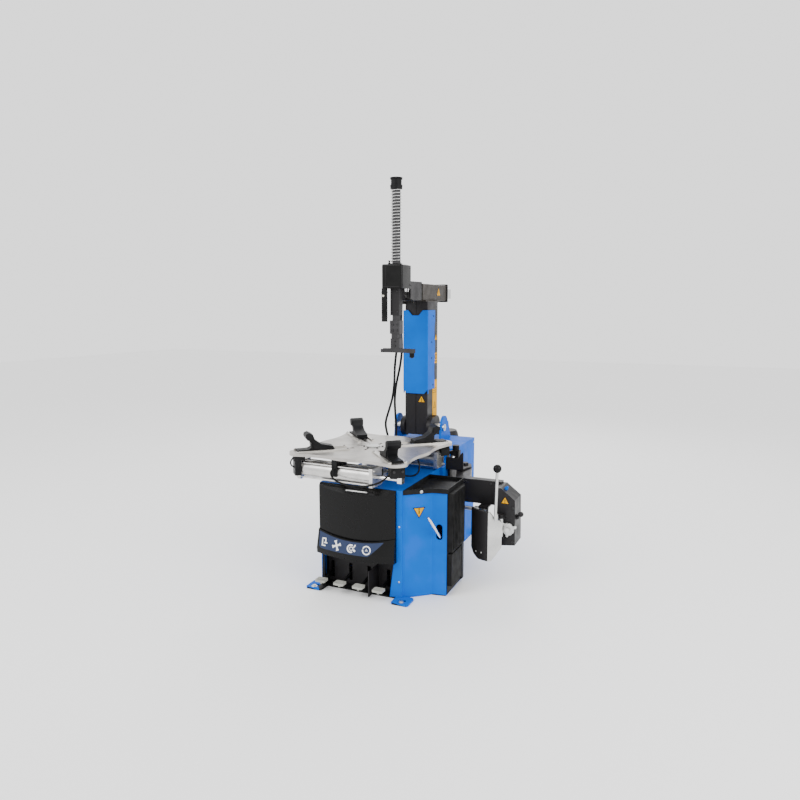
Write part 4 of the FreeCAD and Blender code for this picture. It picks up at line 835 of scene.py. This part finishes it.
def head_line_nuts():
    bm = bmesh.new()
    for y in (300, 326):
        place = surface((46, y, 1442), (1, 0, 0), (0, -1, 0))
        lathe(bm, place, [(0, 0), (7, 0), (7, 9), (5, 10), (5, 16), (0, 16)], 6)
    make_piece("head_line_nuts", bm, "arm", ["bright_chrome"])


# ---------------------------------------------------------------- head

def housing_details():
    """The plug on top of the head's housing, the ribs on its front and its screws."""
    bm = bmesh.new()
    place = surface((-34, 270, 1565), (1, 0, 0), (0, 1, 0))
    lathe(bm, place, [(7, 0), (7, 7), (4, 9), (4, 15), (6, 17), (6, 20), (0, 22)], 20)
    make_piece("housing_plug", bm, "arm", ["matt_black"])
    bm = bmesh.new()
    place = surface((0, 221.6, 1503), (1, 0, 0), (0, 0, 1))
    slab(bm, place, bar(3, 96, 0, -30, 0), 0, 1.6)
    slab(bm, place, bar(92, 3, 0, 0, -52), 0, 1.6)
    make_piece("housing_rib", bm, "arm", ["dark_paint"], 0.6)
    flank = ((240, 1460), (332, 1460), (332, 1548))
    places = [surface((58, y, z), (0, 1, 0), (0, 0, 1)) for y, z in flank]
    places += [surface((-58, y, z), (0, -1, 0), (0, 0, 1)) for y, z in flank]
    screws("housing_screws", "arm", places, 4.5, pan_screw, "dark_steel")


def grip_and_sleeve():
    """The rings of the grip, and the screws in the shaft's sleeve."""
    bm = bmesh.new()
    for z in range(1290, 1390, 9):
        lathe(bm, surface((-46, 236, z), (1, 0, 0), (0, 1, 0)), [(15, 0), (16.4, 1), (16.4, 4), (15, 5)], 28)
    make_piece("grip_ribs", bm, "arm", ["rubber_black"])
    places = [surface((x, SLEEVE_FRONT, z), (1, 0, 0), (0, 0, 1)) for x in (-16, 16) for z in (1322, 1428)]
    screws("sleeve_screws", "arm", places, 4.5, socket_screw, "dark_steel")


def spring():
    """The coil round the shaft, as one round wire."""
    turns, radius, low, high = 24, 27.5, 1573, 1940
    wire_radius, wire_sides = 2.0, 8
    steps = turns * 20
    pitch = math.atan2((high - low) / turns, 2 * math.pi * radius)
    bm = bmesh.new()
    rings = []
    for step in range(steps + 1):
        t = 2 * math.pi * turns * step / steps
        height = low + (high - low) * step / steps
        centre = Vector((radius * math.cos(t), SHAFT_Y + radius * math.sin(t), height))
        out = Vector((math.cos(t), math.sin(t), 0))
        along = Vector((-math.sin(t) * math.cos(pitch), math.cos(t) * math.cos(pitch), math.sin(pitch)))
        up = out.cross(along)
        ways = [2 * math.pi * k / wire_sides for k in range(wire_sides)]
        points = [centre + (out * math.cos(a) + up * math.sin(a)) * wire_radius for a in ways]
        rings.append([bm.verts.new(point) for point in points])
    for first, second in zip(rings, rings[1:]):
        for k in range(wire_sides):
            after = (k + 1) % wire_sides
            bm.faces.new((first[k], first[after], second[after], second[k]))
    bm.faces.new(rings[0][::-1])
    bm.faces.new(rings[-1])
    piece = make_piece("shaft_spring_coil", bm, "arm", ["light_steel"], 0, 60)
    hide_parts("shaft_spring")
    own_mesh(piece)


# ---------------------------------------------------------------- bead breaker, air parts and pedals

def stop_knob_lugs():
    bm = bmesh.new()
    for turn in (20, 140, 260):
        t = math.radians(turn)
        middle = (STOP_KNOB_X + 33 * math.cos(t), 87, STOP_KNOB_Z + 33 * math.sin(t))
        lathe(bm, surface(middle, (1, 0, 0), (0, 0, 1)), [(8, -4), (8, 5), (6, 7), (0, 7)], 20)
    make_piece("stop_knob_lugs", bm, "stop_dial", ["light_steel"], 0.6)


def breaker_fittings():
    """The air nut on top of the bead breaker's end box, and the screws in its front and in the beam."""
    bm = bmesh.new()
    place = seat(skin("breaker_arm"), (645, 130, 700), *FROM_ABOVE)
    lathe(bm, place, [(9, 0), (9, 8), (6, 9), (6, 16), (0, 16)], 6)
    make_piece("breaker_air_nut", bm, "breaker", ["blue_paint"])
    places = seats("breaker_arm", [(612, -300, 458), (692, -300, 232), (692, -300, 400)], *FROM_FRONT)
    screws("end_box_screws", "breaker", places, 6, socket_screw, "dark_steel")
    places = seats("breaker_arm", [(430, -300, 485), (560, -300, 485)], *FROM_FRONT)
    screws("beam_screws", "breaker", places, 6, socket_screw, "dark_steel")


def tank_details():
    """The label on the back of the air tank, and the drain under it."""
    low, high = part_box("air_tank")
    x = (low.x + high.x) / 2 / MM
    tree = skin("air_tank")
    bm = bmesh.new()
    place = seat(tree, (x, 1200, 330), *FROM_BACK)
    slab(bm, place, round_outline(44, 70, 4), -4.2, 1.0, 0)
    for row in range(4):
        slab(bm, place, bar(32, 3, 0, 0, 22 - 12 * row), 0.8, 1.3, 1)
    make_piece("tank_label", bm, "cabinet", ["white_label", "black_print"])
    bm = bmesh.new()
    point, _ = touch(tree, (x, 875, -50), (0, 0, 1))
    lathe(bm, surface(point, (1, 0, 0), (0, -1, 0)), [(9, -2), (9, 8), (5, 10), (5, 20), (0, 20)], 6)
    make_piece("tank_drain", bm, "cabinet", ["bright_chrome"])


def rear_panel():
    """The service panel on the rear box's left side, with two quarter-turn locks and cooling slots; the slots
    and the locks' key slots are black strips of painted shade.
    """
    tree = skin("rear_box")
    bm = bmesh.new()
    place = seat(tree, (-500, 610, 300), *FROM_LEFT)
    slab(bm, place, round_outline(270, 400, 14), -0.3, 2.0, 0)
    for row in range(6):
        slot = place @ Matrix.Translation((0, -150 + 14 * row, 0))
        # Each cooling slot is a black strip on the panel, painted shade in place of an opening.
        slab(bm, slot, round_outline(120, 5, 2.4), 1.9, 2.4, 1)
    for x in (-118, 118):
        lock = place @ Matrix.Translation((x, 160, 0))
        lathe(bm, lock, [(0, 1.8), (11, 1.8), (11, 4), (9, 5), (0, 5)], 24, 2)
        # The key slot in the lock is a black bar, painted shade.
        slab(bm, lock, bar(14, 2.5, 30), 4.8, 5.6, 1)
    make_piece("rear_service_panel", bm, "cabinet", ["blue_paint", "black_print", "bright_chrome"], 0.5)


def regulator_gauge():
    """A small gauge with a hand and nine marks on the air regulator's front."""
    low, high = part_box("air_regulator")
    middle = (low + high) / 2 / MM
    bm = bmesh.new()
    place = seat(skin("air_regulator"), middle + Vector((0, -300, 8)), *FROM_FRONT)
    lathe(bm, place, [(0, -2), (17, -2), (17, 8), (15, 9), (15, 7), (0, 7)], 28, 0)
    slab(bm, place, circle_outline(14.8, 28), 7.0, 7.4, 1)
    slab(bm, place, bar(16, 1.6, 55, 2, 3), 7.3, 7.8, 2)
    for step in range(9):
        turn = -45 + 33.75 * step
        t = math.radians(turn)
        slab(bm, place, bar(3, 1, turn, 12 * math.cos(t), 12 * math.sin(t)), 7.3, 7.7, 2)
    make_piece("regulator_gauge", bm, "cabinet", ["bright_chrome", "white_label", "black_print"])


def pedal_ribs():
    """Four raised ribs on each pedal's plate."""
    for number, x in enumerate((-137, -38, 62, 165), 1):
        bm = bmesh.new()
        for row in range(4):
            place = surface((x, -305 + 9 * row, 56), (1, 0, 0), (0, 1, 0))
            slab(bm, place, round_outline(38, 3, 1.4), -0.2, 1.3)
        make_piece(f"pedal_{number}_ribs", bm, f"pedal_{number}_body", ["pedal_coat"], 0.3)


bezel_label()
bezel_icons()
cover_fittings()
signs()
column_labels()
column_screws()
cabinet_fasteners()
table_fasteners()
air_lines("turntable")
head_line_nuts()
air_lines("arm")
housing_details()
grip_and_sleeve()
spring()
stop_knob_lugs()
breaker_fittings()
tank_details()
rear_panel()
regulator_gauge()
pedal_ribs()


# ---------------------------------------------------------------- stage

def stage():
    """A pale floor and an even white sky."""
    mesh = bpy.data.meshes.new("floor")
    corners = [(x * FLOOR_HALF_M, y * FLOOR_HALF_M, 0) for x, y in ((-1, -1), (1, -1), (1, 1), (-1, 1))]
    mesh.from_pydata(corners, [], [(0, 1, 2, 3)])
    floor = new_object("floor", mesh)
    material, _, _ = new_material("floor", (0.93, 0.93, 0.93), 0, 0.7)
    mesh.materials.append(material)
    world = bpy.data.worlds.new("studio")
    world.use_nodes = True
    sky = world.node_tree.nodes["Background"]
    sky.inputs["Color"].default_value = (1, 1, 1, 1)
    sky.inputs["Strength"].default_value = 1.7
    bpy.context.scene.world = world


def area_light(name, place, target, size, power):
    """A square light of the given size, in metres, that faces target."""
    data = bpy.data.lights.new(name, "AREA")
    data.size = size
    data.energy = power
    light = new_object(name, data)
    light.location = place
    light.rotation_euler = (Vector(target) - Vector(place)).to_track_quat("-Z", "Y").to_euler()


def lights():
    area_light("key", (-1.8, -3.2, 3.6), (0, 0.2, 0.8), 2.2, 90)
    area_light("side", (3.6, -1.2, 2.4), (0.2, 0.2, 0.7), 2.0, 70)
    area_light("back", (-0.5, 3.6, 3.2), (0, 0.3, 1.0), 2.0, 70)


stage()
lights()
